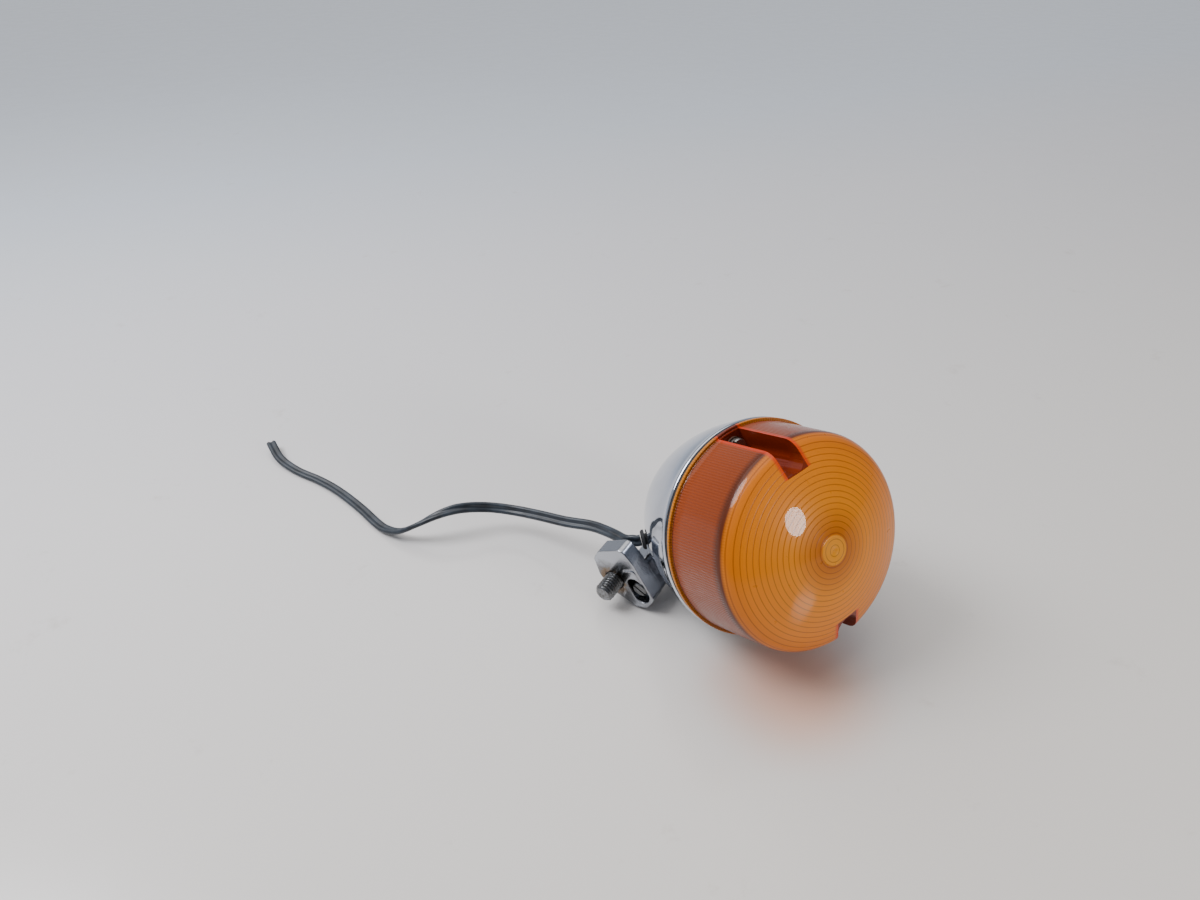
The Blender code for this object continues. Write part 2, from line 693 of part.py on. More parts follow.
def make_bulb():
    base = [
        (BASE_R - 0.3 * MM, BASE_TOP),
        (BASE_R, BASE_TOP - 0.3 * MM),
        (BASE_R, BASE_END + 1.5 * MM),
        (BASE_R - 1.6 * MM, BASE_END),
        (2.6 * MM, BASE_END),
        (2.6 * MM, BASE_END + 0.5 * MM),
        (BASE_R - 2.0 * MM, BASE_END + 0.5 * MM),
        (BASE_R - 0.5 * MM, BASE_END + 1.8 * MM),
        (BASE_R - 0.5 * MM, BASE_TOP - 0.3 * MM),
    ]
    shell = turned(base, 32)
    for angle in HOOK_ANGLES:
        hole = cylinder(0.9 * MM + 0.1 * MM, 5 * MM, 9 * MM, 16)
        sideways = Matrix.Rotation(angle, 4, "Z") @ Matrix.Rotation(math.radians(90), 4, "Y")
        boolean(shell, moved(hole, Matrix.Translation((0, 0, PIN_Z)) @ sideways), "DIFFERENCE")
    put(tidy(shell), "bulb_base", BRASS, bulb_slide)
    for number, angle in enumerate(HOOK_ANGLES, 1):
        pin = cylinder(0.85 * MM, 6.2 * MM, SOCKET_R - 0.1 * MM, 16)
        sideways = Matrix.Rotation(angle, 4, "Z") @ Matrix.Rotation(math.radians(90), 4, "Y")
        moved(pin, Matrix.Translation((0, 0, PIN_Z)) @ sideways)
        put(pin, f"bulb_pin_{number}", BRASS, bulb_slide)
    neck_r = BASE_R - 0.9 * MM
    neck_low = BASE_TOP - 6 * MM
    start = math.asin(neck_r / GLOBE_R)
    outer = []
    inner = []
    for k in range(10):
        turn = (math.pi - start) * k / 9
        outer.append((GLOBE_R * math.sin(turn), GLOBE_Z + GLOBE_R * math.cos(turn)))
        inner_r = GLOBE_R - GLASS
        inner.append((inner_r * math.sin(turn), GLOBE_Z + inner_r * math.cos(turn)))
    outer[0] = (0, GLOBE_Z + GLOBE_R)
    inner[0] = (0, GLOBE_Z + GLOBE_R - GLASS)
    inner[-1] = (neck_r - GLASS, outer[-1][1])
    glass_outer = [(neck_r, neck_low), *reversed(outer)]
    glass_inner = [(neck_r - GLASS, neck_low), *reversed(inner)]
    put(turned_shell(glass_outer, glass_inner, 28), "bulb_glass", CLEAR, bulb_slide)
    stem_low = neck_low + 1 * MM
    stem = [(0, -9 * MM), (1.6 * MM, -10 * MM), (2.2 * MM, -14 * MM), (4.2 * MM, stem_low), (0, stem_low)]
    put(turned(stem, 20), "bulb_mount", CLEAR, bulb_slide)
    pip = [(0, BASE_END - 1.0 * MM), (1.5 * MM, BASE_END - 0.7 * MM), (2.3 * MM, BASE_END + 0.1 * MM)]
    pip += [(2.3 * MM, BASE_END + 0.6 * MM), (0, BASE_END + 0.6 * MM)]
    put(turned(pip[::-1], 20), "bulb_contact", SOLDER, bulb_slide)
    hoop = []
    for k in range(13):
        turn = math.pi * k / 12
        hoop.append((4.2 * MM * math.cos(turn), 0, -2.5 * MM + 2.6 * MM * math.sin(turn)))
    legs = [(2.2 * MM, 0, -8.4 * MM), *hoop, (-2.2 * MM, 0, -8.4 * MM)]
    put(tube(legs, 0.25 * MM, 1), "bulb_filament", TUNGSTEN, bulb_slide)


def pocket_outline(width, length):
    half = width / 2
    reach = length / 2 - half
    points = []
    for end in (0, 1):
        for k in range(9):
            turn = math.pi * (end + k / 8) - math.pi / 2
            points.append((half * math.cos(turn) + (reach if end == 0 else -reach), half * math.sin(turn)))
    return points


def softened(obj, width, limit_degrees=50):
    bevel = obj.modifiers.new("edge", "BEVEL")
    bevel.width = width
    bevel.segments = 2
    bevel.limit_method = "ANGLE"
    bevel.angle_limit = math.radians(limit_degrees)
    return finished(obj)


def bowl_in_mount(grow):
    """The filled bowl, grown all over, as the mount's frame sees it."""
    return moved(bowl_solid(-grow, 6 * MM), mount_matrix().inverted())


def make_mount():
    foot = softened(plate(rounded(FOOT_CORNERS, 3.0 * MM), -FOOT_T, 0), 0.5 * MM)
    pad = plate(rounded(PAD_CORNERS, 1.6 * MM, 3), -2 * MM, PAD_H)
    ledge = moved(cylinder(STUD_R + 0.9 * MM, -5 * MM, 5 * MM), Matrix.Translation((*STUD_AT, 0)))
    boolean(pad, ledge, "DIFFERENCE")
    boolean(foot, pad, "UNION")
    boolean(foot, plate(pocket_outline(POCKET_W, POCKET_L), -POCKET_DEPTH, 5 * MM), "DIFFERENCE")
    boolean(foot, cylinder(CLAMP_SHANK_R + GAP, -20 * MM, 5 * MM, 20), "DIFFERENCE")
    well = moved(cylinder(STUD_R + 0.2 * MM, -5 * MM, 5 * MM), Matrix.Translation((*STUD_AT, 0)))
    boolean(foot, well, "DIFFERENCE")
    boolean(foot, bowl_in_mount(1.2 * MM), "DIFFERENCE")
    put(tidy(foot), "mount_foot", CAST_CHROME, foot_hinge)

    stud = turned(
        [
            (0, STUD_OUT),
            (STUD_R - 0.8 * MM, STUD_OUT),
            (STUD_R, STUD_OUT - 0.8 * MM),
            (STUD_R, -5 * MM + GAP),
            (0, -5 * MM + GAP),
        ],
        32,
    )
    put(stud, "mount_stud", DARK_STEEL, foot_hinge, (*STUD_AT, 0))

    neck = softened(plate(rounded(NECK_CORNERS, 2.4 * MM), -26 * MM, -FOOT_T - GAP), 0.4 * MM)
    boolean(neck, bowl_in_mount(GAP), "DIFFERENCE")
    boolean(neck, cylinder(CLAMP_SHANK_R + GAP, -12.6 * MM, 0, 20), "DIFFERENCE")
    for spot in NECK_SCREWS:
        hole = cylinder(NECK_SCREW_R + GAP, -5 * MM, NECK_SCREW_IN + GAP, 20)
        boolean(neck, moved(hole, mount_matrix().inverted() @ on_bowl(*spot)), "DIFFERENCE")
    put(tidy(neck), "mount_neck", CAST_CHROME, mount)

    floor = -POCKET_DEPTH + GAP
    ring = [(3.5 * MM, 0.7 * MM), (3.5 * MM, 0), (CLAMP_SHANK_R + GAP, 0), (CLAMP_SHANK_R + GAP, 0.7 * MM)]
    put(turned(ring, 24), "clamp_washer", ZINC_STEEL, foot_hinge, (0, 0, floor))
    screw = slotted_screw(CLAMP_HEAD_R, CLAMP_HEAD_H, CLAMP_SHANK_R, 8.6 * MM, 1.0 * MM)
    put(screw, "clamp_screw", DARK_STEEL, foot_hinge, (0, 0, floor + 0.7 * MM + GAP), (0, 0, 0.6))


def make_neck_screws():
    """Screws from inside the bowl into the neck, their heads clear of the wall."""
    for number, spot in enumerate(NECK_SCREWS, 1):
        screw = slotted_screw(3.0 * MM, 1.8 * MM, NECK_SCREW_R, WALL + 2 * GAP + NECK_SCREW_IN, 0.8 * MM)
        under_wall = Matrix.Translation((0, 0, -WALL - 2 * GAP))
        flip = Matrix.Rotation(math.radians(180), 4, "X")
        moved(screw, on_bowl(*spot) @ under_wall @ flip)
        put(screw, f"neck_screw_{number}", ZINC_STEEL, lamp)


def smooth_line(points, count):
    """Evenly many points on a curve that passes through every route point."""
    spots = [Vector(point) for point in points]
    spots = [2 * spots[0] - spots[1], *spots, 2 * spots[-1] - spots[-2]]
    line = []
    for k in range(count):
        along = (len(points) - 1) * k / (count - 1)
        i = min(int(along), len(points) - 2)
        t = along - i
        a, b, c, d = spots[i : i + 4]
        line.append(
            0.5 * (2 * b + (c - a) * t + (2 * a - 5 * b + 4 * c - d) * t**2 + (3 * b - a - 3 * c + d) * t**3)
        )
    return line


def make_lead():
    """Two wires side by side, from just outside the grommet to their cut ends."""
    ground = Vector((LAMP_PLACE[0], LAMP_PLACE[1], 0))
    middle = smooth_line([[c * MM for c in place] for place, _ in LEAD_ROUTE], LEAD_POINTS)
    leans = smooth_line([(lean, 0, 0) for _, lean in LEAD_ROUTE], LEAD_POINTS)
    start = lamp.matrix_world @ on_bowl(GROMMET_ANGLE, GROMMET_Z)
    for number, side in enumerate((-1, 1), 1):
        hole = start @ Vector((-side * WIRE_PITCH / 2, 0, 1.9 * MM + GAP))
        points = [hole, hole + 1.6 * MM * (start.to_3x3() @ Vector((0, 0, 1)))]
        for k in range(1, LEAD_POINTS):
            ahead = middle[min(k + 1, LEAD_POINTS - 1)] - middle[k - 1]
            level = Vector((ahead.y, -ahead.x, 0)).normalized()
            steep = ahead.cross(level).normalized()
            if steep.z < 0:
                steep.negate()
            lean = math.radians(leans[k].x)
            across = level * math.cos(lean) + steep * math.sin(lean)
            points.append(ground + middle[k] + across * side * WIRE_PITCH / 2)
        put(tube(points, WIRE_R), f"lead_wire_{number}", VINYL, None)


def make_inner_wires():
    """The lead inside the bowl: one wire to the contact, one to the holder's flange."""
    exit_place = on_bowl(GROMMET_ANGLE, GROMMET_Z)
    ends = (
        ((-25.0, -4.5, -37.5), (-17.0, -4.0, -43.5), (-9.0, -2.0, -49.2), (-3.0, 0, -50.4), (0, 0, -49.0)),
        ((-25.5, 0.5, -36.5), (-20.0, 2.4, -37.2), (-15.5, 3.0, -36.4), (-12.2, 2.6, -35.4)),
    )
    for number, (side, rest) in enumerate(zip((1, -1), ends), 1):
        hole = [exit_place @ Vector((side * WIRE_PITCH / 2, 0, depth * MM)) for depth in (1.7, -3.6)]
        route = [*hole, *[Vector(place) * MM for place in rest]]
        line = [hole[0], *smooth_line(route[1:], 14)]
        put(tube(line, 0.9 * MM), f"inner_wire_{number}", VINYL, lamp)


def make_grommet():
    profile = [
        (0, 1.9 * MM),
        (GROMMET_R, 1.9 * MM),
        (GROMMET_R + 0.6 * MM, 1.4 * MM),
        (GROMMET_R + 0.6 * MM, 0.6 * MM),
        (GROMMET_R - 1.1 * MM, 0.6 * MM),
        (GROMMET_R - 1.1 * MM, -2.2 * MM),
        (0, -2.2 * MM),
    ]
    body = turned(profile, 28)
    for side in (-1, 1):
        hole = cylinder(WIRE_R + 0.2 * MM, -5 * MM, 5 * MM, 16)
        beside = Matrix.Translation((side * WIRE_PITCH / 2, 0, 0))
        boolean(body, moved(hole, beside), "DIFFERENCE")
    put(tidy(moved(body, on_bowl(GROMMET_ANGLE, GROMMET_Z))), "lead_grommet", RUBBER, lamp)


def main():
    make_shell()
    make_lens()
    make_gasket()
    make_lens_screws()
    make_posts()
    make_reflector()
    make_socket()
    make_contact()
    make_bulb()
    make_mount()
    make_neck_screws()
    make_grommet()
    make_inner_wires()
    bpy.context.view_layer.update()
    make_lead()
    bpy.context.view_layer.update()


main()
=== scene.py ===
"""A round motorcycle turn signal lamp lying on a pale table: chromed bowl, amber lens, side mount and lead.

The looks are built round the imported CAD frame. Lengths are in metres unless they are multiplied by MM.
The lamp's own frame has its origin at the centre of the bowl's mouth and +Z out through the lens.
"""

import json
import math

import bmesh
import bpy
from mathutils import Matrix, Vector


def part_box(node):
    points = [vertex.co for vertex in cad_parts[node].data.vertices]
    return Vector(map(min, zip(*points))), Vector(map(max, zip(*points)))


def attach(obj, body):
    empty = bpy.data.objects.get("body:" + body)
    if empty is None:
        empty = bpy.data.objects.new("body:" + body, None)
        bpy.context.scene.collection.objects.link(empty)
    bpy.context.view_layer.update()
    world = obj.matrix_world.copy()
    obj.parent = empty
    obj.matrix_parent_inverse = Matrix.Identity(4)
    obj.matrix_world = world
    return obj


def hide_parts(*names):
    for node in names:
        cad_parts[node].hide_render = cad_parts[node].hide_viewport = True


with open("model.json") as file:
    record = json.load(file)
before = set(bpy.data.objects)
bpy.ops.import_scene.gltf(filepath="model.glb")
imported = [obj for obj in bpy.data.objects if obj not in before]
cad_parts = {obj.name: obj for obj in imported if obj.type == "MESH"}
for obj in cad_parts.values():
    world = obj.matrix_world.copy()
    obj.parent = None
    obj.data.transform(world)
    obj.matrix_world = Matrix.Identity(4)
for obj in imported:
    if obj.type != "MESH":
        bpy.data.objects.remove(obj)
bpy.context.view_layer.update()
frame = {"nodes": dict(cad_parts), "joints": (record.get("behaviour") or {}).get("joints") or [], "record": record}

MM = 0.001

# Camera
CAMERA_PLACE = (-171.8 * MM, -190.0 * MM, 245.0 * MM)
CAMERA_RIGHT = (0.8634, -0.5045, 0.0)
CAMERA_UP = (0.2821, 0.4828, 0.8290)
FOCAL_LENGTH = 25.5
SENSOR_WIDTH = 36.0

# Bowl
MOUTH_R = 41.5 * MM
BOWL_R = 40.9 * MM
BOWL_DEPTH = 55.2 * MM
BOWL_POWER = 1.59
BOWL_WALL = 0.6 * MM
BOWL_GAP = 0.3 * MM
BEAD_H = 1.9 * MM
GASKET_H = 1.0 * MM

# Lens
LENS_BACK = 1.3 * MM
FLANGE_TOP = 2.6 * MM
SIDE_R_BACK = 40.3 * MM
SIDE_R_FRONT = 39.2 * MM
SIDE_TOP = 27.5 * MM
SHOULDER_R = 6.2 * MM
SHOULDER_TURN = math.radians(66.2)
DOME_R = 87.4 * MM
DOME_TOP = 40.7 * MM
LENS_WALL = 3.4 * MM
RING_PITCH = 2.0 * MM
RING_DEPTH = 0.34 * MM
RINGS_OUT_R = 33.0 * MM
RINGS_IN_R = 7.0 * MM
BOSS_R = 5.2 * MM
BOSS_H = 0.4 * MM
DIMPLE_R = 1.1 * MM
FLUTES = 240
FLUTE_DEPTH = 0.4 * MM
CHANNEL_ANGLES = (math.radians(101.8), math.radians(281.8))
CHANNEL_W = 9.0 * MM
CHANNEL_IN_R = 29.5 * MM
CHANNEL_FLOOR = 3.4 * MM
CHANNEL_WALL = 1.8 * MM
SCREW_R = 35.0 * MM
SCREW_HOLE_R = 2.05 * MM
# Heights at which the flutes end and the front's rings begin and stand out in full
FLUTES_TOP = 28.0 * MM
FRONT_STARTS = 29.6 * MM
FRONT_FULL = 31.4 * MM

# Stud: its foot in the mount's frame, and an M8 coarse thread
STUD_AT = (-5.0 * MM, -10.5 * MM)
STUD_R = 4.0 * MM
STUD_LOW = -4.7 * MM
STUD_OUT = 8.4 * MM
THREAD_PITCH = 1.25 * MM
THREAD_DEPTH = 0.7 * MM

# Lead: a flat pair of wires
WIRE_R = 1.1 * MM
WIRE_PITCH = 2.5 * MM
GROMMET_ANGLE = math.radians(183)
GROMMET_Z = -32.0 * MM
GROMMET_TOP = 1.9 * MM
LEAD_POINTS = 50
# The lead's middle line from its exit to its cut end, in millimetres from the table point under the
# mouth's centre, with the lean of its flat side in degrees
LEAD_ROUTE = (
    ((-34.4, 30.6, 27.3), 72),
    ((-37.2, 34.2, 25.6), 72),
    ((-38.0, 43.6, 22.7), 65),
    ((-41.0, 54.8, 20.0), 55),
    ((-47.4, 66.2, 17.0), 50),
    ((-53.6, 78.4, 14.4), 50),
    ((-60.4, 89.8, 12.2), 55),
    ((-69.8, 97.4, 12.6), 60),
    ((-81.4, 101.0, 14.2), 40),
    ((-91.0, 103.4, 12.8), 0),
    ((-99.8, 106.4, 8.8), -30),
    ((-106.8, 111.4, 4.4), -20),
    ((-111.2, 119.0, 2.0), 0),
    ((-113.6, 127.6, 1.5), 0),
    ((-115.4, 137.0, 1.4), 0),
    ((-118.2, 148.4, 1.4), 0),
    ((-122.2, 161.4, 1.4), 0),
    ((-127.4, 173.4, 1.4), 0),
    ((-134.0, 185.6, 1.4), 0),
    ((-139.0, 199.4, 2.2), 0),
    ((-140.0, 213.4, 4.0), 0),
)

# Table, and the amber light that falls on it through the lens
TABLE_REACH = 4.0
GLOW_PLACE = (-6.0 * MM, -46.0 * MM, 0.0)
GLOW_OUT_R = 42.0 * MM
GLOW_IN_R = 6.0 * MM

joints = {joint["name"]: joint for joint in frame["joints"]}

# The lamp's frame, from the lens's sliding axis and the gasket that lies on the mouth
lens_axis = Vector(joints["lens_off"]["axis"]).normalized()
level = Vector((1, 0, 0))
gasket_low, gasket_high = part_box("lens_gasket")
mouth = (Vector(gasket_low) + Vector(gasket_high)) / 2 - lens_axis * GASKET_H / 2
LAMP_TURN = Matrix((level, lens_axis.cross(level), lens_axis)).transposed()
LAMP = Matrix.Translation(mouth) @ LAMP_TURN.to_4x4()

# The mount's frame, from the hinge that the foot turns on
foot_out = Vector(joints["foot_turn"]["axis"]).normalized()
foot_out_in_lamp = LAMP_TURN.inverted() @ foot_out
mount_angle = math.atan2(foot_out_in_lamp.y, foot_out_in_lamp.x)
mount_x = LAMP_TURN @ Vector((-math.sin(mount_angle), math.cos(mount_angle), 0))
MOUNT_TURN = Matrix((mount_x, foot_out.cross(mount_x), foot_out)).transposed()
MOUNT = Matrix.Translation(joints["foot_turn"]["pos_m"]) @ MOUNT_TURN.to_4x4()


# ---------------------------------------------------------------- camera


def make_camera():
    right, up = Vector(CAMERA_RIGHT), Vector(CAMERA_UP)
    turn = Matrix((right, up, right.cross(up))).transposed()
    data = bpy.data.cameras.new("camera")
    data.lens = FOCAL_LENGTH
    data.sensor_width = SENSOR_WIDTH
    data.clip_start = 0.01
    camera = bpy.data.objects.new("camera", data)
    camera.matrix_world = Matrix.Translation(CAMERA_PLACE) @ turn.to_4x4()
    bpy.context.scene.collection.objects.link(camera)
    bpy.context.scene.camera = camera


# ---------------------------------------------------------------- materials
# A noise's scale is how many patches it has in a metre, so 500 makes them about 2 mm across


def colour(code):
    """An sRGB hex colour as the linear colour that a shader takes."""
    parts = [int(code[i : i + 2], 16) / 255 for i in (0, 2, 4)]
    return (*[p / 12.92 if p <= 0.04045 else ((p + 0.055) / 1.055) ** 2.4 for p in parts], 1.0)


def add(tree, kind, inputs=None, stops=None, **settings):
    """Adds one node with its settings, its colour stops, and its input values or links."""
    node = tree.nodes.new(kind)
    for name, value in settings.items():
        setattr(node, name, value)
    if stops:
        ramp = node.color_ramp
        while len(ramp.elements) < len(stops):
            ramp.elements.new(0.5)
        for element, (place, shade) in zip(ramp.elements, stops):
            element.position = place
            element.color = colour(shade)
    for name, value in (inputs or {}).items():
        if isinstance(value, bpy.types.NodeSocket):
            tree.links.new(value, node.inputs[name])
        else:
            node.inputs[name].default_value = value
    return node


def new_material(name, **shader_values):
    """A Principled material and its tree, shader and Object coordinates."""
    made = bpy.data.materials.new(name)
    made.use_nodes = True
    tree = made.node_tree
    shader = tree.nodes["Principled BSDF"]
    for socket, value in shader_values.items():
        shader.inputs[socket.replace("_", " ")].default_value = value
    place = add(tree, "ShaderNodeTexCoord").outputs["Object"]
    return made, tree, shader, place


def chrome_plate():
    # Bright chrome on pressed steel: a near mirror with a cool tint, faint haze and wiping marks of 1 mm
    made, tree, shader, place = new_material("chrome_plate", Metallic=1.0)
    haze = add(tree, "ShaderNodeTexNoise", {"Vector": place, "Scale": 60.0, "Detail": 5.0}).outputs["Fac"]
    tint = add(tree, "ShaderNodeValToRGB", {"Fac": haze}, [(0.35, "B9BEC8"), (0.7, "CDD2DB")])
    rough = add(tree, "ShaderNodeMapRange", {"Value": haze, "To Min": 0.03, "To Max": 0.1})
    marks = add(tree, "ShaderNodeTexNoise", {"Vector": place, "Scale": 900.0, "Detail": 2.0}).outputs["Fac"]
    bump = add(tree, "ShaderNodeBump", {"Height": marks, "Strength": 0.02, "Distance": 0.05 * MM})
    tree.links.new(tint.outputs["Color"], shader.inputs["Base Color"])
    tree.links.new(rough.outputs["Result"], shader.inputs["Roughness"])
    tree.links.new(bump.outputs["Normal"], shader.inputs["Normal"])
    return made


def plated_casting():
    # Plated die casting, weathered: satin grey and pitted, with brown corrosion creeping round the stud
    made, tree, shader, place = new_material("plated_casting", Metallic=1.0)
    noise = {"Vector": place, "Scale": 420.0, "Detail": 8.0, "Roughness": 0.7}
    patches = add(tree, "ShaderNodeTexNoise", noise).outputs["Fac"]
    stud_foot = tuple(MOUNT @ Vector((*STUD_AT, 0)))
    away = add(tree, "ShaderNodeVectorMath", {0: place, 1: stud_foot}, operation="DISTANCE").outputs["Value"]
    ragged = {0: patches, 1: 9 * MM, 2: away}
    ragged = add(tree, "ShaderNodeMath", ragged, operation="MULTIPLY_ADD").outputs[0]
    reach = add(tree, "ShaderNodeMath", {0: ragged, 1: 60.0}, operation="MULTIPLY").outputs[0]
    rust = [(0.50, "3E3128"), (0.60, "6E5D4B"), (0.68, "6C6C6D"), (0.95, "A2A5AB")]
    worn = add(tree, "ShaderNodeValToRGB", {"Fac": reach}, rust)
    grain = add(tree, "ShaderNodeTexNoise", {"Vector": place, "Scale": 1500.0, "Detail": 4.0}).outputs["Fac"]
    rough = add(tree, "ShaderNodeMapRange", {"Value": grain, "To Min": 0.08, "To Max": 0.34})
    bump = add(tree, "ShaderNodeBump", {"Height": patches, "Strength": 0.25, "Distance": 0.2 * MM})
    tree.links.new(worn.outputs["Color"], shader.inputs["Base Color"])
    tree.links.new(rough.outputs["Result"], shader.inputs["Roughness"])
    tree.links.new(bump.outputs["Normal"], shader.inputs["Normal"])
    return made


def amber_acrylic():
    # Moulded amber acrylic: a clear glossy skin over an orange body with a painted glow, and fine flutes and
    # rings on its inner side that are painted on its colour as thin darker lines of shade
    made, tree, shader, place = new_material(
        "amber_acrylic",
        Roughness=0.3,
        IOR=1.49,
        Specular_IOR_Level=0.1,
        Transmission_Weight=0.1,
        Coat_Weight=0.4,
        Coat_Roughness=0.02,
    )
    in_lamp = {"Vector": place, "Location": tuple(LAMP.translation), "Rotation": tuple(LAMP_TURN.to_euler())}
    local = add(tree, "ShaderNodeMapping", in_lamp, vector_type="TEXTURE").outputs[0]
    part = add(tree, "ShaderNodeSeparateXYZ", {0: local}).outputs
    flat = add(tree, "ShaderNodeCombineXYZ", {"X": part["X"], "Y": part["Y"]}).outputs[0]
    radius = add(tree, "ShaderNodeVectorMath", {0: flat}, operation="LENGTH").outputs["Value"]

    # The side, painted darker than the front as shade: a gold rim as a painted highlight, a dark line
    # of painted shade over it, an even orange wall and a dark band of painted shade under the shoulder
    height = add(tree, "ShaderNodeMath", {0: part["Z"], 1: 1 / DOME_TOP}, operation="MULTIPLY").outputs[0]
    side_shading_bands = [(0.035, "D98A10"), (0.062, "CC7606"), (0.07, "5A1A02"), (0.09, "983E04")]
    side_shading_bands += [(0.62, "8C3A06"), (0.68, "5A2404"), (0.72, "5A2404"), (0.755, "D87404")]
    side = add(tree, "ShaderNodeValToRGB", {"Fac": height}, side_shading_bands).outputs["Color"]
    # Painted shade: darker stripes round the side, one at each flute
    turn = add(tree, "ShaderNodeMath", {0: part["Y"], 1: part["X"]}, operation="ARCTAN2").outputs[0]
    wound = add(tree, "ShaderNodeMath", {0: turn, 1: float(FLUTES)}, operation="MULTIPLY").outputs[0]
    flute = add(tree, "ShaderNodeMath", {0: wound}, operation="SINE").outputs[0]
    crest = {"Value": flute, "From Min": -0.2, "From Max": 1.0, "To Max": 0.28}
    shade = add(tree, "ShaderNodeMapRange", crest).outputs["Result"]
    dark = {"Factor": shade, "A": side, "B": colour("5E1E04")}
    fluted = add(tree, "ShaderNodeMix", dark, data_type="RGBA").outputs["Result"]

    # The front: painted light, paler towards the boss and darker near the shoulder, with a dark ring of
    # painted shade just outside the boss and a thin dark line of painted shade at every ring
    reach = add(tree, "ShaderNodeMath", {0: radius, 1: 1 / MOUTH_R}, operation="MULTIPLY").outputs[0]
    tones = [(0.0, "F29A04"), (0.122, "EE9402"), (0.134, "C06600")]
    tones += [(0.4, "F08C00"), (0.78, "EA8202"), (0.9, "DA7404")]
    front = add(tree, "ShaderNodeValToRGB", {"Fac": reach}, tones).outputs["Color"]
    ring_turn = {0: radius, 1: math.pi / RING_PITCH}
    ring_turn = add(tree, "ShaderNodeMath", ring_turn, operation="MULTIPLY").outputs[0]
    wave = add(tree, "ShaderNodeMath", {0: ring_turn}, operation="SINE").outputs[0]
    ring = add(tree, "ShaderNodeMath", {0: wave}, operation="ABSOLUTE").outputs[0]
    valley = {"Value": ring, "From Max": 0.4, "To Min": 0.62, "To Max": 0.0}
    groove = add(tree, "ShaderNodeMapRange", valley).outputs["Result"]
    dark = {"Factor": groove, "A": front, "B": colour("6E2C00")}
    ringed = add(tree, "ShaderNodeMix", dark, data_type="RGBA").outputs["Result"]
    over_shoulder = {"Value": part["Z"], "From Min": FRONT_STARTS, "From Max": FRONT_FULL}
    is_front = add(tree, "ShaderNodeMapRange", over_shoulder).outputs["Result"]
    both = {"Factor": is_front, "A": fluted, "B": ringed}
    tone = add(tree, "ShaderNodeMix", both, data_type="RGBA").outputs["Result"]

    # The channels: bright red-orange edges, a painted glow where the light comes out of the plastic, and
    # an inside darkened with painted shade
    swing = {"Vector": flat, "Angle": -CHANNEL_ANGLES[0]}
    swung = add(tree, "ShaderNodeVectorRotate", swing, rotation_type="Z_AXIS").outputs[0]
    along = add(tree, "ShaderNodeSeparateXYZ", {0: swung}).outputs
    out = add(tree, "ShaderNodeMath", {0: along["X"]}, operation="ABSOLUTE").outputs[0]
    across = add(tree, "ShaderNodeMath", {0: along["Y"]}, operation="ABSOLUTE").outputs[0]
    past_end = {0: out, 1: CHANNEL_IN_R - 0.3 * MM}
    in_reach = add(tree, "ShaderNodeMath", past_end, operation="GREATER_THAN").outputs[0]
    half = CHANNEL_W / 2
    channel_glow_and_shade = ((half + CHANNEL_WALL, half + 0.7 * MM, 0.85, "D83804"), (half + 0.12 * MM, half, 0.8, "4A1803"))
    for starts, full, most, tint in channel_glow_and_shade:
        fade = {"Value": across, "From Min": starts, "From Max": full, "To Max": most}
        near = add(tree, "ShaderNodeMapRange", fade).outputs["Result"]
        share = add(tree, "ShaderNodeMath", {0: near, 1: in_reach}, operation="MULTIPLY").outputs[0]
        layer = {"Factor": share, "A": tone, "B": colour(tint)}
        tone = add(tree, "ShaderNodeMix", layer, data_type="RGBA").outputs["Result"]

    on_side = add(tree, "ShaderNodeMath", {0: part["Z"], 1: FLUTES_TOP}, operation="LESS_THAN").outputs[0]
    flute_lift = add(tree, "ShaderNodeMath", {0: flute, 1: on_side}, operation="MULTIPLY").outputs[0]
    ring_lift = add(tree, "ShaderNodeMath", {0: groove, 1: is_front}, operation="MULTIPLY").outputs[0]
    lift = add(tree, "ShaderNodeMath", {0: flute_lift, 1: ring_lift}, operation="SUBTRACT").outputs[0]
    bump = add(tree, "ShaderNodeBump", {"Height": lift, "Strength": 0.3, "Distance": 0.3 * MM})
    grime = add(tree, "ShaderNodeTexNoise", {"Vector": place, "Scale": 300.0, "Detail": 6.0}).outputs["Fac"]
    rough = add(tree, "ShaderNodeMapRange", {"Value": grime, "To Min": 0.22, "To Max": 0.4})
    tree.links.new(tone, shader.inputs["Base Color"])
    tree.links.new(rough.outputs["Result"], shader.inputs["Roughness"])
    tree.links.new(bump.outputs["Normal"], shader.inputs["Normal"])
    return made


def worn_steel(name, dark, bright, low_rough, high_rough, scale):
    # Steel, brass or bright alloy whose finish has dulled in small patches
    made, tree, shader, place = new_material(name, Metallic=1.0)
    noise = {"Vector": place, "Scale": scale, "Detail": 7.0, "Roughness": 0.65}
    patches = add(tree, "ShaderNodeTexNoise", noise).outputs["Fac"]
    shade = add(tree, "ShaderNodeValToRGB", {"Fac": patches}, [(0.36, dark), (0.64, bright)])
    span = {"Value": patches, "From Min": 0.3, "From Max": 0.7, "To Min": high_rough, "To Max": low_rough}
    rough = add(tree, "ShaderNodeMapRange", span)
    bump = add(tree, "ShaderNodeBump", {"Height": patches, "Strength": 0.15, "Distance": 0.1 * MM})
    tree.links.new(shade.outputs["Color"], shader.inputs["Base Color"])
    tree.links.new(rough.outputs["Result"], shader.inputs["Roughness"])
    tree.links.new(bump.outputs["Normal"], shader.inputs["Normal"])
    return made


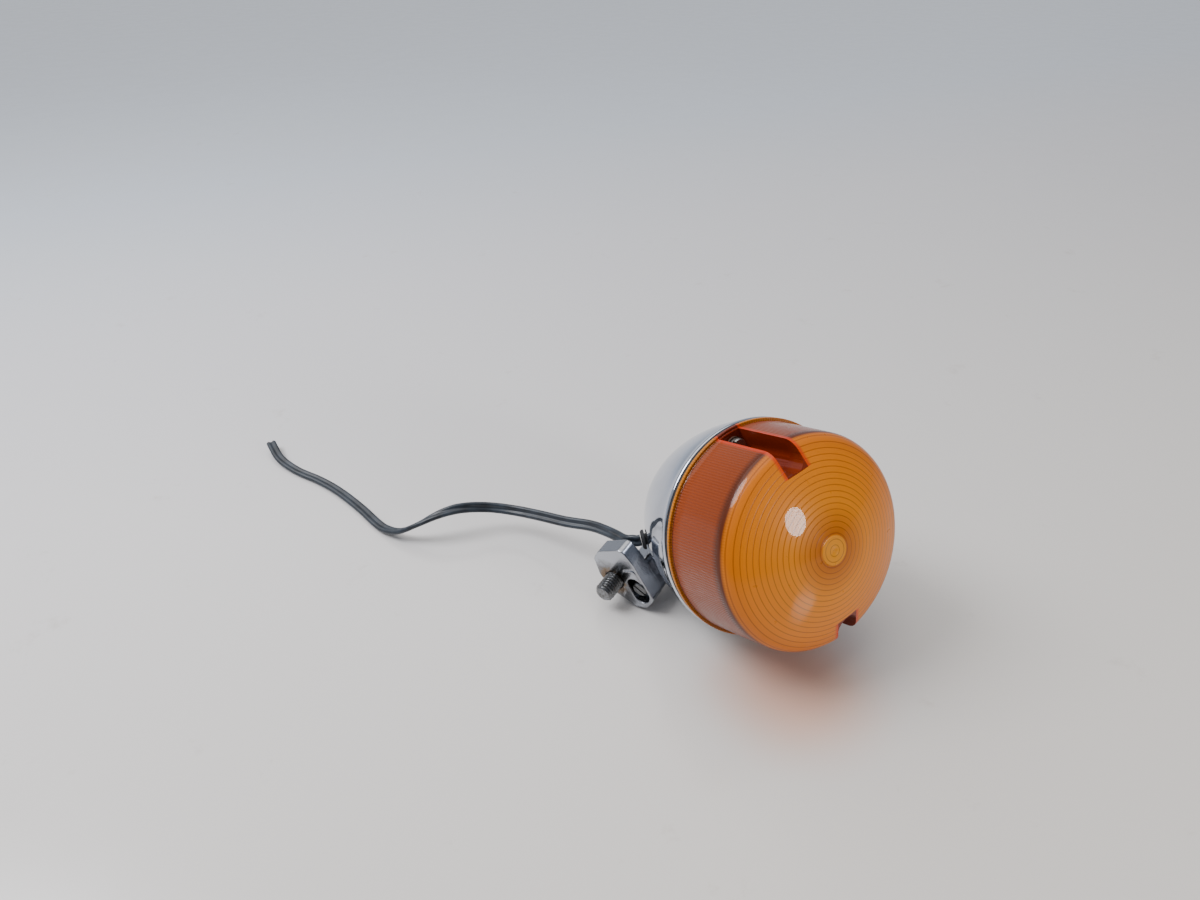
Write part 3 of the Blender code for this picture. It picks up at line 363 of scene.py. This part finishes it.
def dull_solid(name, dark, bright, roughness, scale):
    # Rubber, vinyl or fibre: one colour that scuffs lighter, with a fine moulded grain
    made, tree, shader, place = new_material(name, Roughness=roughness)
    scuffs = add(tree, "ShaderNodeTexNoise", {"Vector": place, "Scale": scale, "Detail": 6.0}).outputs["Fac"]
    shade = add(tree, "ShaderNodeValToRGB", {"Fac": scuffs}, [(0.35, dark), (0.75, bright)])
    bump = add(tree, "ShaderNodeBump", {"Height": scuffs, "Strength": 0.3, "Distance": 0.1 * MM})
    tree.links.new(shade.outputs["Color"], shader.inputs["Base Color"])
    tree.links.new(bump.outputs["Normal"], shader.inputs["Normal"])
    return made


def clear_glass():
    # Blown bulb glass: thin, clear and a little uneven
    made, tree, shader, place = new_material("clear_glass", IOR=1.5, Transmission_Weight=1.0, Roughness=0.02)
    flow = add(tree, "ShaderNodeTexNoise", {"Vector": place, "Scale": 90.0}).outputs["Fac"]
    shade = add(tree, "ShaderNodeValToRGB", {"Fac": flow}, [(0.3, "EEF2F2"), (0.7, "FBFCFC")])
    bump = add(tree, "ShaderNodeBump", {"Height": flow, "Strength": 0.05, "Distance": 0.1 * MM})
    tree.links.new(shade.outputs["Color"], shader.inputs["Base Color"])
    tree.links.new(bump.outputs["Normal"], shader.inputs["Normal"])
    return made


def table_top():
    # Pale laminate table top, warmer near and cooler far off as a painted tint of the room's light, with a
    # soft shine, thin grey-brown rub marks, and the amber light that the lens throws on it
    made, tree, shader, place = new_material("table_laminate", Roughness=0.3)
    part = add(tree, "ShaderNodeSeparateXYZ", {"Vector": place}).outputs
    # Painted light: a warm tint near and a cool tint far off
    far = add(tree, "ShaderNodeMapRange", {"Value": part["Y"], "From Min": -0.1, "From Max": 0.7})
    tones = [(0.0, "E0DBD4"), (0.6, "E2E1E3"), (1.0, "DCE3EC")]
    tone = add(tree, "ShaderNodeValToRGB", {"Fac": far.outputs["Result"]}, tones).outputs["Color"]
    noise = {"Vector": place, "Scale": 35.0, "Detail": 9.0, "Roughness": 0.7}
    scuffs = add(tree, "ShaderNodeTexNoise", noise).outputs["Fac"]
    rough = add(tree, "ShaderNodeMapRange", {"Value": scuffs, "To Min": 0.1, "To Max": 0.3})
    fade = {"Value": scuffs, "From Min": 0.62, "From Max": 0.75, "To Max": 0.3}
    rubs = add(tree, "ShaderNodeMapRange", fade)
    away = add(tree, "ShaderNodeVectorMath", {0: place, 1: GLOW_PLACE}, operation="DISTANCE").outputs["Value"]
    fade = {"Value": away, "From Min": GLOW_OUT_R, "From Max": GLOW_IN_R, "To Max": 0.75}
    glow = add(tree, "ShaderNodeMapRange", fade, interpolation_type="SMOOTHSTEP")
    for share, tint in ((rubs, "A89C8E"), (glow, "E0A98C")):
        layer = {"Factor": share.outputs["Result"], "A": tone, "B": colour(tint)}
        tone = add(tree, "ShaderNodeMix", layer, data_type="RGBA").outputs["Result"]
    tree.links.new(tone, shader.inputs["Base Color"])
    tree.links.new(rough.outputs["Result"], shader.inputs["Roughness"])
    return made


# ---------------------------------------------------------------- shapes


def new_piece(name, mesh, material):
    piece = bpy.data.objects.new(name, mesh)
    bpy.context.scene.collection.objects.link(piece)
    mesh.materials.clear()
    mesh.materials.append(material)
    mesh.shade_smooth()
    return piece


def to_mesh(shape, name):
    """The mesh of a closed bmesh, with its faces outwards."""
    bmesh.ops.recalc_face_normals(shape, faces=shape.faces)
    if shape.calc_volume(signed=True) < 0:
        bmesh.ops.reverse_faces(shape, faces=shape.faces)
    mesh = bpy.data.meshes.new(name)
    shape.to_mesh(mesh)
    shape.free()
    return mesh


def worked_mesh(piece):
    """The piece's mesh with its modifiers worked in."""
    depsgraph = bpy.context.evaluated_depsgraph_get()
    mesh = bpy.data.meshes.new_from_object(piece.evaluated_get(depsgraph))
    piece.modifiers.clear()
    return mesh


def lathe(profile, steps, fluted=()):
    """A solid of revolution round Z from its profile of (radius, height) points, pole to pole.

    The fluted points stand out by FLUTE_DEPTH at every other step.
    """
    shape = bmesh.new()
    rings = []
    for i, (r, z) in enumerate(profile):
        ring = []
        for k in range(steps if r else 1):
            turn = 2 * math.pi * k / steps
            here = r + (FLUTE_DEPTH * (k % 2) if i in fluted else 0)
            ring.append(shape.verts.new((here * math.cos(turn), here * math.sin(turn), z)))
        rings.append(ring)
    for a, b in zip(rings, rings[1:]):
        for k in range(steps):
            n = (k + 1) % steps
            near = (a[0],) if len(a) == 1 else (a[n], a[k])
            away = (b[0],) if len(b) == 1 else (b[k], b[n])
            shape.faces.new((*near, *away))
    return to_mesh(shape, "lathe")


def cut(piece, other, operation):
    """Works the other mesh into the piece by a boolean and drops it."""
    tool = bpy.data.objects.new("tool", other)
    bpy.context.scene.collection.objects.link(tool)
    step = piece.modifiers.new(operation.lower(), "BOOLEAN")
    step.operation = operation
    step.solver = "EXACT"
    step.object = tool
    piece.data = worked_mesh(piece)
    bpy.data.objects.remove(tool)


def prism(outline, low, high, turn):
    """A solid whose outline in the XY plane runs from low to high, turned round Z."""
    shape = bmesh.new()
    bottom = [shape.verts.new((x, y, low)) for x, y in outline]
    top = [shape.verts.new((x, y, high)) for x, y in outline]
    shape.faces.new(bottom[::-1])
    shape.faces.new(top)
    for k in range(len(outline)):
        n = (k + 1) % len(outline)
        shape.faces.new((bottom[k], bottom[n], top[n], top[k]))
    bmesh.ops.rotate(shape, verts=shape.verts, cent=(0, 0, 0), matrix=Matrix.Rotation(turn, 3, "Z"))
    return to_mesh(shape, "prism")


def bowl_r(z):
    depth = min(max(-z / BOWL_DEPTH, 0.0), 1.0)
    return BOWL_R * math.sqrt(max(1 - depth**BOWL_POWER, 0.0))


def bowl_slope(z, step):
    return (bowl_r(z + step) - bowl_r(z - step)) / (2 * step)


def make_bowl(skin):
    """The bowl as one smooth shell with a rolled bead round its mouth."""
    rows = 72
    outer = []
    inner = []
    for k in range(rows):
        z = -BOWL_DEPTH * math.sin(math.pi / 2 * k / rows)
        if z < -BEAD_H - 0.9 * MM:
            inward = Vector((-1, bowl_slope(z, 0.05 * MM))).normalized() * BOWL_WALL
            outer.append((bowl_r(z), z))
            inner.append((bowl_r(z) + inward.x, z + inward.y))
    bead = []
    for k in range(9):
        turn = math.radians(95 - 185 * k / 8)
        r = MOUTH_R - 0.4 * MM + 0.4 * MM * math.cos(turn)
        bead.append((r, -BOWL_GAP - BEAD_H / 2 + BEAD_H / 2 * math.sin(turn)))
    lip_r = BOWL_R - BOWL_WALL
    under_bead = (BOWL_R + 0.05 * MM, -BEAD_H - 0.6 * MM)
    skin_side = [(lip_r, -BOWL_GAP), *bead, under_bead, *outer, (0, -BOWL_DEPTH)]
    hollow_side = [(lip_r, -BOWL_GAP - 1.0 * MM), *inner, (0, -BOWL_DEPTH + BOWL_WALL)]
    mesh = lathe(skin_side[::-1] + hollow_side, 256)
    mesh.transform(LAMP)
    piece = new_piece("chrome_bowl", mesh, skin)
    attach(piece, "lamp")
    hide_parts("housing_shell")


def shoulder(inset, steps):
    """The lens's rounded shoulder in profile, that far under its skin."""
    line = []
    for k in range(steps + 1):
        turn = SHOULDER_TURN * k / steps
        reach = SHOULDER_R - inset
        line.append((SIDE_R_FRONT - SHOULDER_R + reach * math.cos(turn), SIDE_TOP + reach * math.sin(turn)))
    return line


def dome_z(r, inset=0.0):
    """The height of the lens's front at a radius, that far under its skin."""
    return DOME_TOP - DOME_R + math.sqrt((DOME_R - inset) ** 2 - r**2)


def lens_outer():
    """The lens's outer profile from the back of its flange to its pole, with its boss."""
    line = [
        (MOUTH_R - 0.2 * MM, LENS_BACK),
        (MOUTH_R, LENS_BACK + 0.2 * MM),
        (MOUTH_R, FLANGE_TOP - 0.25 * MM),
        (MOUTH_R - 0.25 * MM, FLANGE_TOP),
        (SIDE_R_BACK + 0.15 * MM, FLANGE_TOP),
        (SIDE_R_BACK, FLANGE_TOP + 0.2 * MM),
    ]
    for k in range(1, 5):
        r = SIDE_R_BACK + (SIDE_R_FRONT - SIDE_R_BACK) * k / 5
        line.append((r, FLANGE_TOP + (SIDE_TOP - FLANGE_TOP) * k / 5))
    line += shoulder(0.0, 9)
    for k in range(1, 15):
        r = RINGS_OUT_R + (BOSS_R + 1.0 * MM - RINGS_OUT_R) * k / 14
        line.append((r, dome_z(r)))
    foot = dome_z(BOSS_R)
    top = foot + BOSS_H
    line += [
        (BOSS_R + 0.1 * MM, foot),
        (BOSS_R, top - 0.15 * MM),
        (BOSS_R - 0.15 * MM, top),
        (BOSS_R * 0.6, top),
        (DIMPLE_R + 0.3 * MM, top),
        (DIMPLE_R, top - 0.1 * MM),
        (DIMPLE_R * 0.6, top - 0.4 * MM),
        (0, top - 0.5 * MM),
    ]
    return line


def lens_inner():
    """The lens's inner profile from its rim to its pole, with its rings."""
    side_r = SIDE_R_BACK - LENS_WALL
    line = [(side_r, LENS_BACK), (side_r, LENS_BACK + 1.5 * MM)]
    line += [(SIDE_R_FRONT - LENS_WALL, SIDE_TOP - 1.5 * MM), *shoulder(LENS_WALL, 3)]
    per_ring = 6
    for k in range(round((RINGS_OUT_R - RINGS_IN_R) / RING_PITCH) * per_ring + 1):
        r = RINGS_OUT_R - RING_PITCH * k / per_ring
        line.append((r, dome_z(r, LENS_WALL) - RING_DEPTH * abs(math.sin(math.pi * k / per_ring))))
    line.append((0, DOME_TOP - LENS_WALL))
    return line


def arc(radius, middle_x, starts, sweep, count):
    """Points on an arc about a middle on the X axis, its angles in degrees."""
    turns = [math.radians(starts + sweep * k / count) for k in range(count + 1)]
    return [(middle_x + radius * math.cos(turn), radius * math.sin(turn)) for turn in turns]


def channel_outline(grow):
    """A slot from the channel's round inner end straight out past the lens."""
    half = CHANNEL_W / 2 + grow
    past = MOUTH_R + 4 * MM
    return [*arc(half, CHANNEL_IN_R + CHANNEL_W / 2, 90, 180, 24), (past, -half), (past, half)]


def make_lens(skin):
    outer = lens_outer()
    fluted = (len(outer) + 1, len(outer) + 2)
    piece = new_piece("fluted_lens", lathe(outer[::-1] + lens_inner(), FLUTES * 2, fluted), skin)
    # The channels' linings stop half a millimetre under the skin, where they meet the lens's own wall
    under = 0.5 * MM
    base = LENS_BACK + 0.02 * MM
    envelope = [(0, base), (SIDE_R_BACK - under, base), *shoulder(under, 5)]
    shoulder_r = envelope[-1][0]
    for k in range(1, 9):
        r = shoulder_r * (1 - k / 8)
        envelope.append((r, dome_z(r, under)))
    for angle in CHANNEL_ANGLES:
        block = prism(channel_outline(CHANNEL_WALL), LENS_BACK, DOME_TOP, angle)
        lining = new_piece("lining", block, skin)
        cut(lining, lathe(envelope, 96), "INTERSECT")
        cut(piece, lining.data, "UNION")
        bpy.data.objects.remove(lining)
    screw_hole = arc(SCREW_HOLE_R, SCREW_R, 0, 360, 32)[:-1]
    for angle in CHANNEL_ANGLES:
        cut(piece, prism(channel_outline(0), CHANNEL_FLOOR, DOME_TOP + 5 * MM, angle), "DIFFERENCE")
        cut(piece, prism(screw_hole, 0, CHANNEL_FLOOR + 2 * MM, angle), "DIFFERENCE")
    mesh = piece.data
    mesh.materials.clear()
    mesh.materials.append(skin)
    mesh.transform(LAMP)
    mesh.shade_smooth()
    mesh.set_sharp_from_angle(angle=math.radians(35))
    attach(piece, "lens")
    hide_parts("lens")


def make_thread(steel):
    """The stud: a grid that geometry nodes roll up and press a screw thread into."""
    tree = bpy.data.node_groups.new("stud_thread", "GeometryNodeTree")
    sizes = {
        "Radius": STUD_R,
        "Pitch": THREAD_PITCH,
        "Thread depth": THREAD_DEPTH,
        "Low": STUD_LOW,
        "Length": STUD_OUT - STUD_LOW,
    }
    for name in sizes:
        tree.interface.new_socket(name, in_out="INPUT", socket_type="NodeSocketFloat")
    tree.interface.new_socket("Material", in_out="INPUT", socket_type="NodeSocketMaterial")
    tree.interface.new_socket("Geometry", in_out="OUTPUT", socket_type="NodeSocketGeometry")
    given = add(tree, "NodeGroupInput").outputs
    sides, rows = 64, 140
    grid = {"Size X": 1.0, "Size Y": 1.0, "Vertices X": sides + 1, "Vertices Y": rows + 1}
    grid = add(tree, "GeometryNodeMeshGrid", grid).outputs["Mesh"]
    place = add(tree, "GeometryNodeInputPosition").outputs[0]
    place = add(tree, "ShaderNodeSeparateXYZ", {0: place}).outputs
    around = add(tree, "ShaderNodeMath", {0: place["X"], 1: 0.5}, operation="ADD").outputs[0]
    along = add(tree, "ShaderNodeMath", {0: place["Y"], 1: 0.5}, operation="ADD").outputs[0]

    # The thread: a height along the stud, and a V cut that winds round it once in each pitch
    span = {"Value": along, "From Min": 1 / rows, "From Max": 1 - 1 / rows}
    span = add(tree, "ShaderNodeMapRange", span).outputs["Result"]
    height = {0: span, 1: given["Length"], 2: given["Low"]}
    height = add(tree, "ShaderNodeMath", height, operation="MULTIPLY_ADD").outputs[0]
    pitches = add(tree, "ShaderNodeMath", {0: height, 1: given["Pitch"]}, operation="DIVIDE").outputs[0]
    wound = add(tree, "ShaderNodeMath", {0: pitches, 1: around}, operation="SUBTRACT").outputs[0]
    saw = add(tree, "ShaderNodeMath", {0: wound, 1: 0.5}, operation="PINGPONG").outputs[0]
    flank = {"Value": saw, "From Min": 0.07, "From Max": 0.42}
    flank = add(tree, "ShaderNodeMapRange", flank).outputs["Result"]
    depth = add(tree, "ShaderNodeMath", {0: flank, 1: given["Thread depth"]}, operation="MULTIPLY").outputs[0]
    threaded = add(tree, "ShaderNodeMath", {0: given["Radius"], 1: depth}, operation="SUBTRACT").outputs[0]
    lead_in = {"Value": height, "From Min": STUD_OUT - 1.0 * MM, "From Max": STUD_OUT}
    lead_in |= {"To Min": STUD_R, "To Max": STUD_R - 0.9 * MM}
    lead_in = add(tree, "ShaderNodeMapRange", lead_in).outputs["Result"]
    chamfered = add(tree, "ShaderNodeMath", {0: threaded, 1: lead_in}, operation="MINIMUM").outputs[0]

    # The first and the last row close on the axis, and the rows beside them make the flat ends
    past_low = add(tree, "ShaderNodeMath", {0: along, 1: 0.5 / rows}, operation="GREATER_THAN").outputs[0]
    before_high = {0: along, 1: 1 - 0.5 / rows}
    before_high = add(tree, "ShaderNodeMath", before_high, operation="LESS_THAN").outputs[0]
    body = add(tree, "ShaderNodeMath", {0: past_low, 1: before_high}, operation="MULTIPLY").outputs[0]
    radius = add(tree, "ShaderNodeMath", {0: chamfered, 1: body}, operation="MULTIPLY").outputs[0]
    turn = add(tree, "ShaderNodeMath", {0: around, 1: 2 * math.pi}, operation="MULTIPLY").outputs[0]
    spot = {"Z": height}
    for axis, wave in (("X", "COSINE"), ("Y", "SINE")):
        unit = add(tree, "ShaderNodeMath", {0: turn}, operation=wave).outputs[0]
        spot[axis] = add(tree, "ShaderNodeMath", {0: radius, 1: unit}, operation="MULTIPLY").outputs[0]
    spot = add(tree, "ShaderNodeCombineXYZ", spot).outputs[0]
    rolled = add(tree, "GeometryNodeSetPosition", {"Geometry": grid, "Position": spot}).outputs[0]
    joined = add(tree, "GeometryNodeMergeByDistance", {"Geometry": rolled, "Distance": 0.001 * MM}).outputs[0]
    real = add(tree, "GeometryNodeRealizeInstances", {"Geometry": joined}).outputs[0]
    painted = add(tree, "GeometryNodeSetMaterial", {"Geometry": real, "Material": given["Material"]})
    add(tree, "NodeGroupOutput", {"Geometry": painted.outputs[0]})

    seed = bpy.data.objects.new("thread_seed", bpy.data.meshes.new("thread_seed"))
    bpy.context.scene.collection.objects.link(seed)
    rolling = seed.modifiers.new("thread", "NODES")
    rolling.node_group = tree
    for socket in tree.interface.items_tree:
        if socket.in_out == "INPUT":
            rolling[socket.identifier] = steel if socket.name == "Material" else sizes[socket.name]
    shape = bmesh.new()
    shape.from_mesh(worked_mesh(seed))
    bpy.data.objects.remove(seed)
    mesh = to_mesh(shape, "threaded_stud")
    mesh.transform(MOUNT @ Matrix.Translation((*STUD_AT, 0)))
    piece = new_piece("threaded_stud", mesh, steel)
    mesh.set_sharp_from_angle(angle=math.radians(40))
    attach(piece, "foot")
    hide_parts("mount_stud")


def smooth_line(points, count):
    """Evenly many points on a curve that passes through every route point."""
    spots = [Vector(point) for point in points]
    spots = [2 * spots[0] - spots[1], *spots, 2 * spots[-1] - spots[-2]]
    line = []
    for k in range(count):
        along = (len(points) - 1) * k / (count - 1)
        i = min(int(along), len(points) - 2)
        t = along - i
        a, b, c, d = spots[i : i + 4]
        bend = (2 * a - 5 * b + 4 * c - d) * t**2 + (3 * b - a - 3 * c + d) * t**3
        line.append(0.5 * (2 * b + (c - a) * t + bend))
    return line


def grommet_place():
    """The grommet's frame on the bowl's side, with Z out of the wall."""
    side = Vector((math.cos(GROMMET_ANGLE), math.sin(GROMMET_ANGLE), 0))
    normal = (side - Vector((0, 0, bowl_slope(GROMMET_Z, 0.5 * MM)))).normalized()
    across = Vector((-side.y, side.x, 0))
    turn = Matrix((across, normal.cross(across), normal)).transposed()
    spot = side * bowl_r(GROMMET_Z) + Vector((0, 0, GROMMET_Z))
    return LAMP @ Matrix.Translation(spot) @ turn.to_4x4()


def make_lead(vinyl):
    """The flat pair: two round wires joined by a thin web, swept along the route."""
    ground = Vector((mouth.x, mouth.y, 0))
    middle = smooth_line([[c * MM for c in place] for place, _ in LEAD_ROUTE], LEAD_POINTS)
    leans = smooth_line([(lean, 0, 0) for _, lean in LEAD_ROUTE], LEAD_POINTS)
    start = grommet_place()
    outwards = start.to_3x3() @ Vector((0, 0, 1))
    hole = start @ Vector((0, 0, GROMMET_TOP + BOWL_GAP))
    path = [hole, hole + 1.6 * MM * outwards]
    acrosses = [start.to_3x3() @ Vector((-1, 0, 0))] * 2
    for k in range(1, LEAD_POINTS):
        ahead = middle[min(k + 1, LEAD_POINTS - 1)] - middle[k - 1]
        flat = Vector((ahead.y, -ahead.x, 0)).normalized()
        steep = ahead.cross(flat).normalized()
        if steep.z < 0:
            steep.negate()
        lean = math.radians(leans[k].x)
        path.append(ground + middle[k])
        acrosses.append(flat * math.cos(lean) + steep * math.sin(lean))
    # Four points between each two route points keep the bends smooth
    fine = smooth_line(path, (len(path) - 1) * 4 + 1)
    fine_across = smooth_line(acrosses, (len(path) - 1) * 4 + 1)
    section = arc(WIRE_R, WIRE_PITCH / 2, -145, 290, 12) + arc(WIRE_R, -WIRE_PITCH / 2, 35, 290, 12)
    shape = bmesh.new()
    rings = []
    for i, spot in enumerate(fine):
        ahead = (fine[min(i + 1, len(fine) - 1)] - fine[max(i - 1, 0)]).normalized()
        across = (fine_across[i] - ahead * fine_across[i].dot(ahead)).normalized()
        lift = ahead.cross(across)
        rings.append([shape.verts.new(spot + across * a + lift * b) for a, b in section])
    for a, b in zip(rings, rings[1:]):
        for k in range(len(section)):
            n = (k + 1) % len(section)
            shape.faces.new((a[k], a[n], b[n], b[k]))
    shape.faces.new(rings[0][::-1])
    shape.faces.new(rings[-1])
    mesh = to_mesh(shape, "flat_lead")
    piece = new_piece("flat_lead", mesh, vinyl)
    mesh.set_sharp_from_angle(angle=math.radians(60))
    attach(piece, "lamp")
    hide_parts("lead_wire_1", "lead_wire_2")
    return fine, fine_across


def make_copper(fine, fine_across, copper):
    """The bare strands that show at the lead's cut end, six round one in each wire."""
    ahead = (fine[-1] - fine[-2]).normalized()
    across = (fine_across[-1] - ahead * fine_across[-1].dot(ahead)).normalized()
    turn = Matrix((across, ahead.cross(across), ahead)).transposed().to_4x4()
    shape = bmesh.new()
    for side in (-1, 1):
        for x, y in [*arc(0.42 * MM, 0, 0, 300, 5), (0, 0)]:
            spot = Vector((side * WIRE_PITCH / 2 + x, y, 0.25 * MM))
            bmesh.ops.create_cone(
                shape,
                cap_ends=True,
                segments=8,
                radius1=0.19 * MM,
                radius2=0.15 * MM,
                depth=1.4 * MM,
                matrix=Matrix.Translation(fine[-1]) @ turn @ Matrix.Translation(spot),
            )
    piece = new_piece("copper_strands", to_mesh(shape, "strands"), copper)
    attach(piece, "lamp")


def soften_casting(node_name, name, body, skin):
    """A casting's CAD shape with its edges worn round."""
    shape = bmesh.new()
    shape.from_mesh(frame["nodes"][node_name].data)
    bmesh.ops.remove_doubles(shape, verts=shape.verts, dist=0.002 * MM)
    piece = new_piece(name, to_mesh(shape, name), skin)
    even = piece.modifiers.new("even", "REMESH")
    even.mode = "VOXEL"
    even.voxel_size = 0.26 * MM
    wear = piece.modifiers.new("wear", "SMOOTH")
    wear.factor = 0.5
    wear.iterations = 7
    mesh = worked_mesh(piece)
    piece.data = mesh
    mesh.materials.clear()
    mesh.materials.append(skin)
    mesh.shade_smooth()
    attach(piece, body)
    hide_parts(node_name)


def dress_cad(finishes):
    """Gives every CAD node that stays in view its finish."""
    slots = {row["node"]: row["material_slot"] for row in frame["record"]["subparts"]}
    for name, node in frame["nodes"].items():
        node.data.materials.clear()
        node.data.materials.append(finishes[slots[name]])


# ---------------------------------------------------------------- table and light


def make_stage(laminate):
    mesh = bpy.data.meshes.new("table")
    corners = [(-1, -1), (1, -1), (1, 1), (-1, 1)]
    mesh.from_pydata([(x * TABLE_REACH, y * TABLE_REACH, 0) for x, y in corners], [], [(0, 1, 2, 3)])
    table = new_piece("table", mesh, laminate)


def area_light(name, place, aim, size, power, tint):
    data = bpy.data.lights.new(name, "AREA")
    data.shape = "ELLIPSE"
    data.size, data.size_y = size
    data.energy = power
    data.color = colour(tint)[:3]
    light = bpy.data.objects.new(name, data)
    light.location = place
    light.rotation_euler = (Vector(aim) - Vector(place)).to_track_quat("-Z", "Y").to_euler()
    bpy.context.scene.collection.objects.link(light)


def make_light():
    """A room with a pale wall on the far side and a darker near side, a soft ceiling and two windows."""
    world = bpy.data.worlds.new("room")
    world.use_nodes = True
    tree = world.node_tree
    sight = add(tree, "ShaderNodeTexCoord").outputs["Generated"]
    sight = add(tree, "ShaderNodeSeparateXYZ", {0: sight}).outputs
    far = {"Value": sight["Y"], "From Min": -0.5, "From Max": 0.6}
    far = add(tree, "ShaderNodeMapRange", far).outputs["Result"]
    tones = [(0.0, "6E737B"), (0.5, "A7ADB8"), (1.0, "E2E7F0")]
    walls = add(tree, "ShaderNodeValToRGB", {"Fac": far}, tones).outputs["Color"]
    lift = {"Value": sight["Z"], "From Min": 0.3, "From Max": 0.9}
    lift = add(tree, "ShaderNodeMapRange", lift).outputs["Result"]
    both = {"Factor": lift, "A": walls, "B": colour("C9CED8")}
    room = add(tree, "ShaderNodeMix", both, data_type="RGBA").outputs["Result"]
    background = tree.nodes["Background"]
    tree.links.new(room, background.inputs["Color"])
    background.inputs["Strength"].default_value = 0.7
    bpy.context.scene.world = world
    data = bpy.data.lights.new("ceiling", "SUN")
    data.energy = 1.55
    data.angle = math.radians(70)
    data.color = colour("FFF9F2")[:3]
    ceiling = bpy.data.objects.new("ceiling", data)
    ceiling.rotation_euler = (math.radians(-24), math.radians(-10), 0)
    bpy.context.scene.collection.objects.link(ceiling)
    area_light("side_window", (-0.55, 0.35, 0.75), (0, 0, 0.03), (0.5, 0.5), 7.0, "F6F8FF")
    area_light("front_window", (0.323, -0.93, 0.368), (0, 0, 0.05), (0.2, 0.24), 3.5, "FFFFFF")


# ---------------------------------------------------------------- the scene

make_camera()
vinyl = dull_solid("vinyl_sheath", "1A2027", "343D47", 0.38, 160.0)
dark_steel = worn_steel("worn_oxide_steel", "55544F", "85878B", 0.24, 0.42, 1600.0)
chrome = chrome_plate()
casting = plated_casting()
amber = amber_acrylic()
finishes = {
    "chrome_plate": chrome,
    "chromed_casting": casting,
    "amber_acrylic": amber,
    "black_oxide_steel": dark_steel,
    "zinc_plated_steel": worn_steel("dull_zinc", "8B877C", "C9C7C0", 0.25, 0.45, 500.0),
    "brass": worn_steel("tarnished_brass", "8A6A34", "C9A45C", 0.22, 0.42, 300.0),
    "bright_aluminium": worn_steel("bright_dipped_aluminium", "C6C7C9", "E6E6E8", 0.1, 0.2, 120.0),
    "clear_glass": clear_glass(),
    "brown_fibre": dull_solid("pressed_fibre", "3A2014", "5E3824", 0.75, 800.0),
    "solder": worn_steel("soft_solder", "8A8A88", "B4B4B2", 0.35, 0.55, 600.0),
    "tungsten_wire": worn_steel("drawn_tungsten", "56565A", "85858A", 0.35, 0.5, 900.0),
    "black_rubber": dull_solid("moulded_rubber", "16171A", "2C2E32", 0.7, 400.0),
    "black_vinyl": vinyl,
}
lead_line, lead_across = make_lead(vinyl)
make_copper(lead_line, lead_across, worn_steel("bare_copper", "8A4A2A", "C8805A", 0.25, 0.4, 800.0))
dress_cad(finishes)
make_bowl(chrome)
make_lens(amber)
make_thread(dark_steel)
soften_casting("mount_foot", "cast_foot", "foot", casting)
soften_casting("mount_neck", "cast_neck", "lamp", casting)
make_stage(table_top())
make_light()
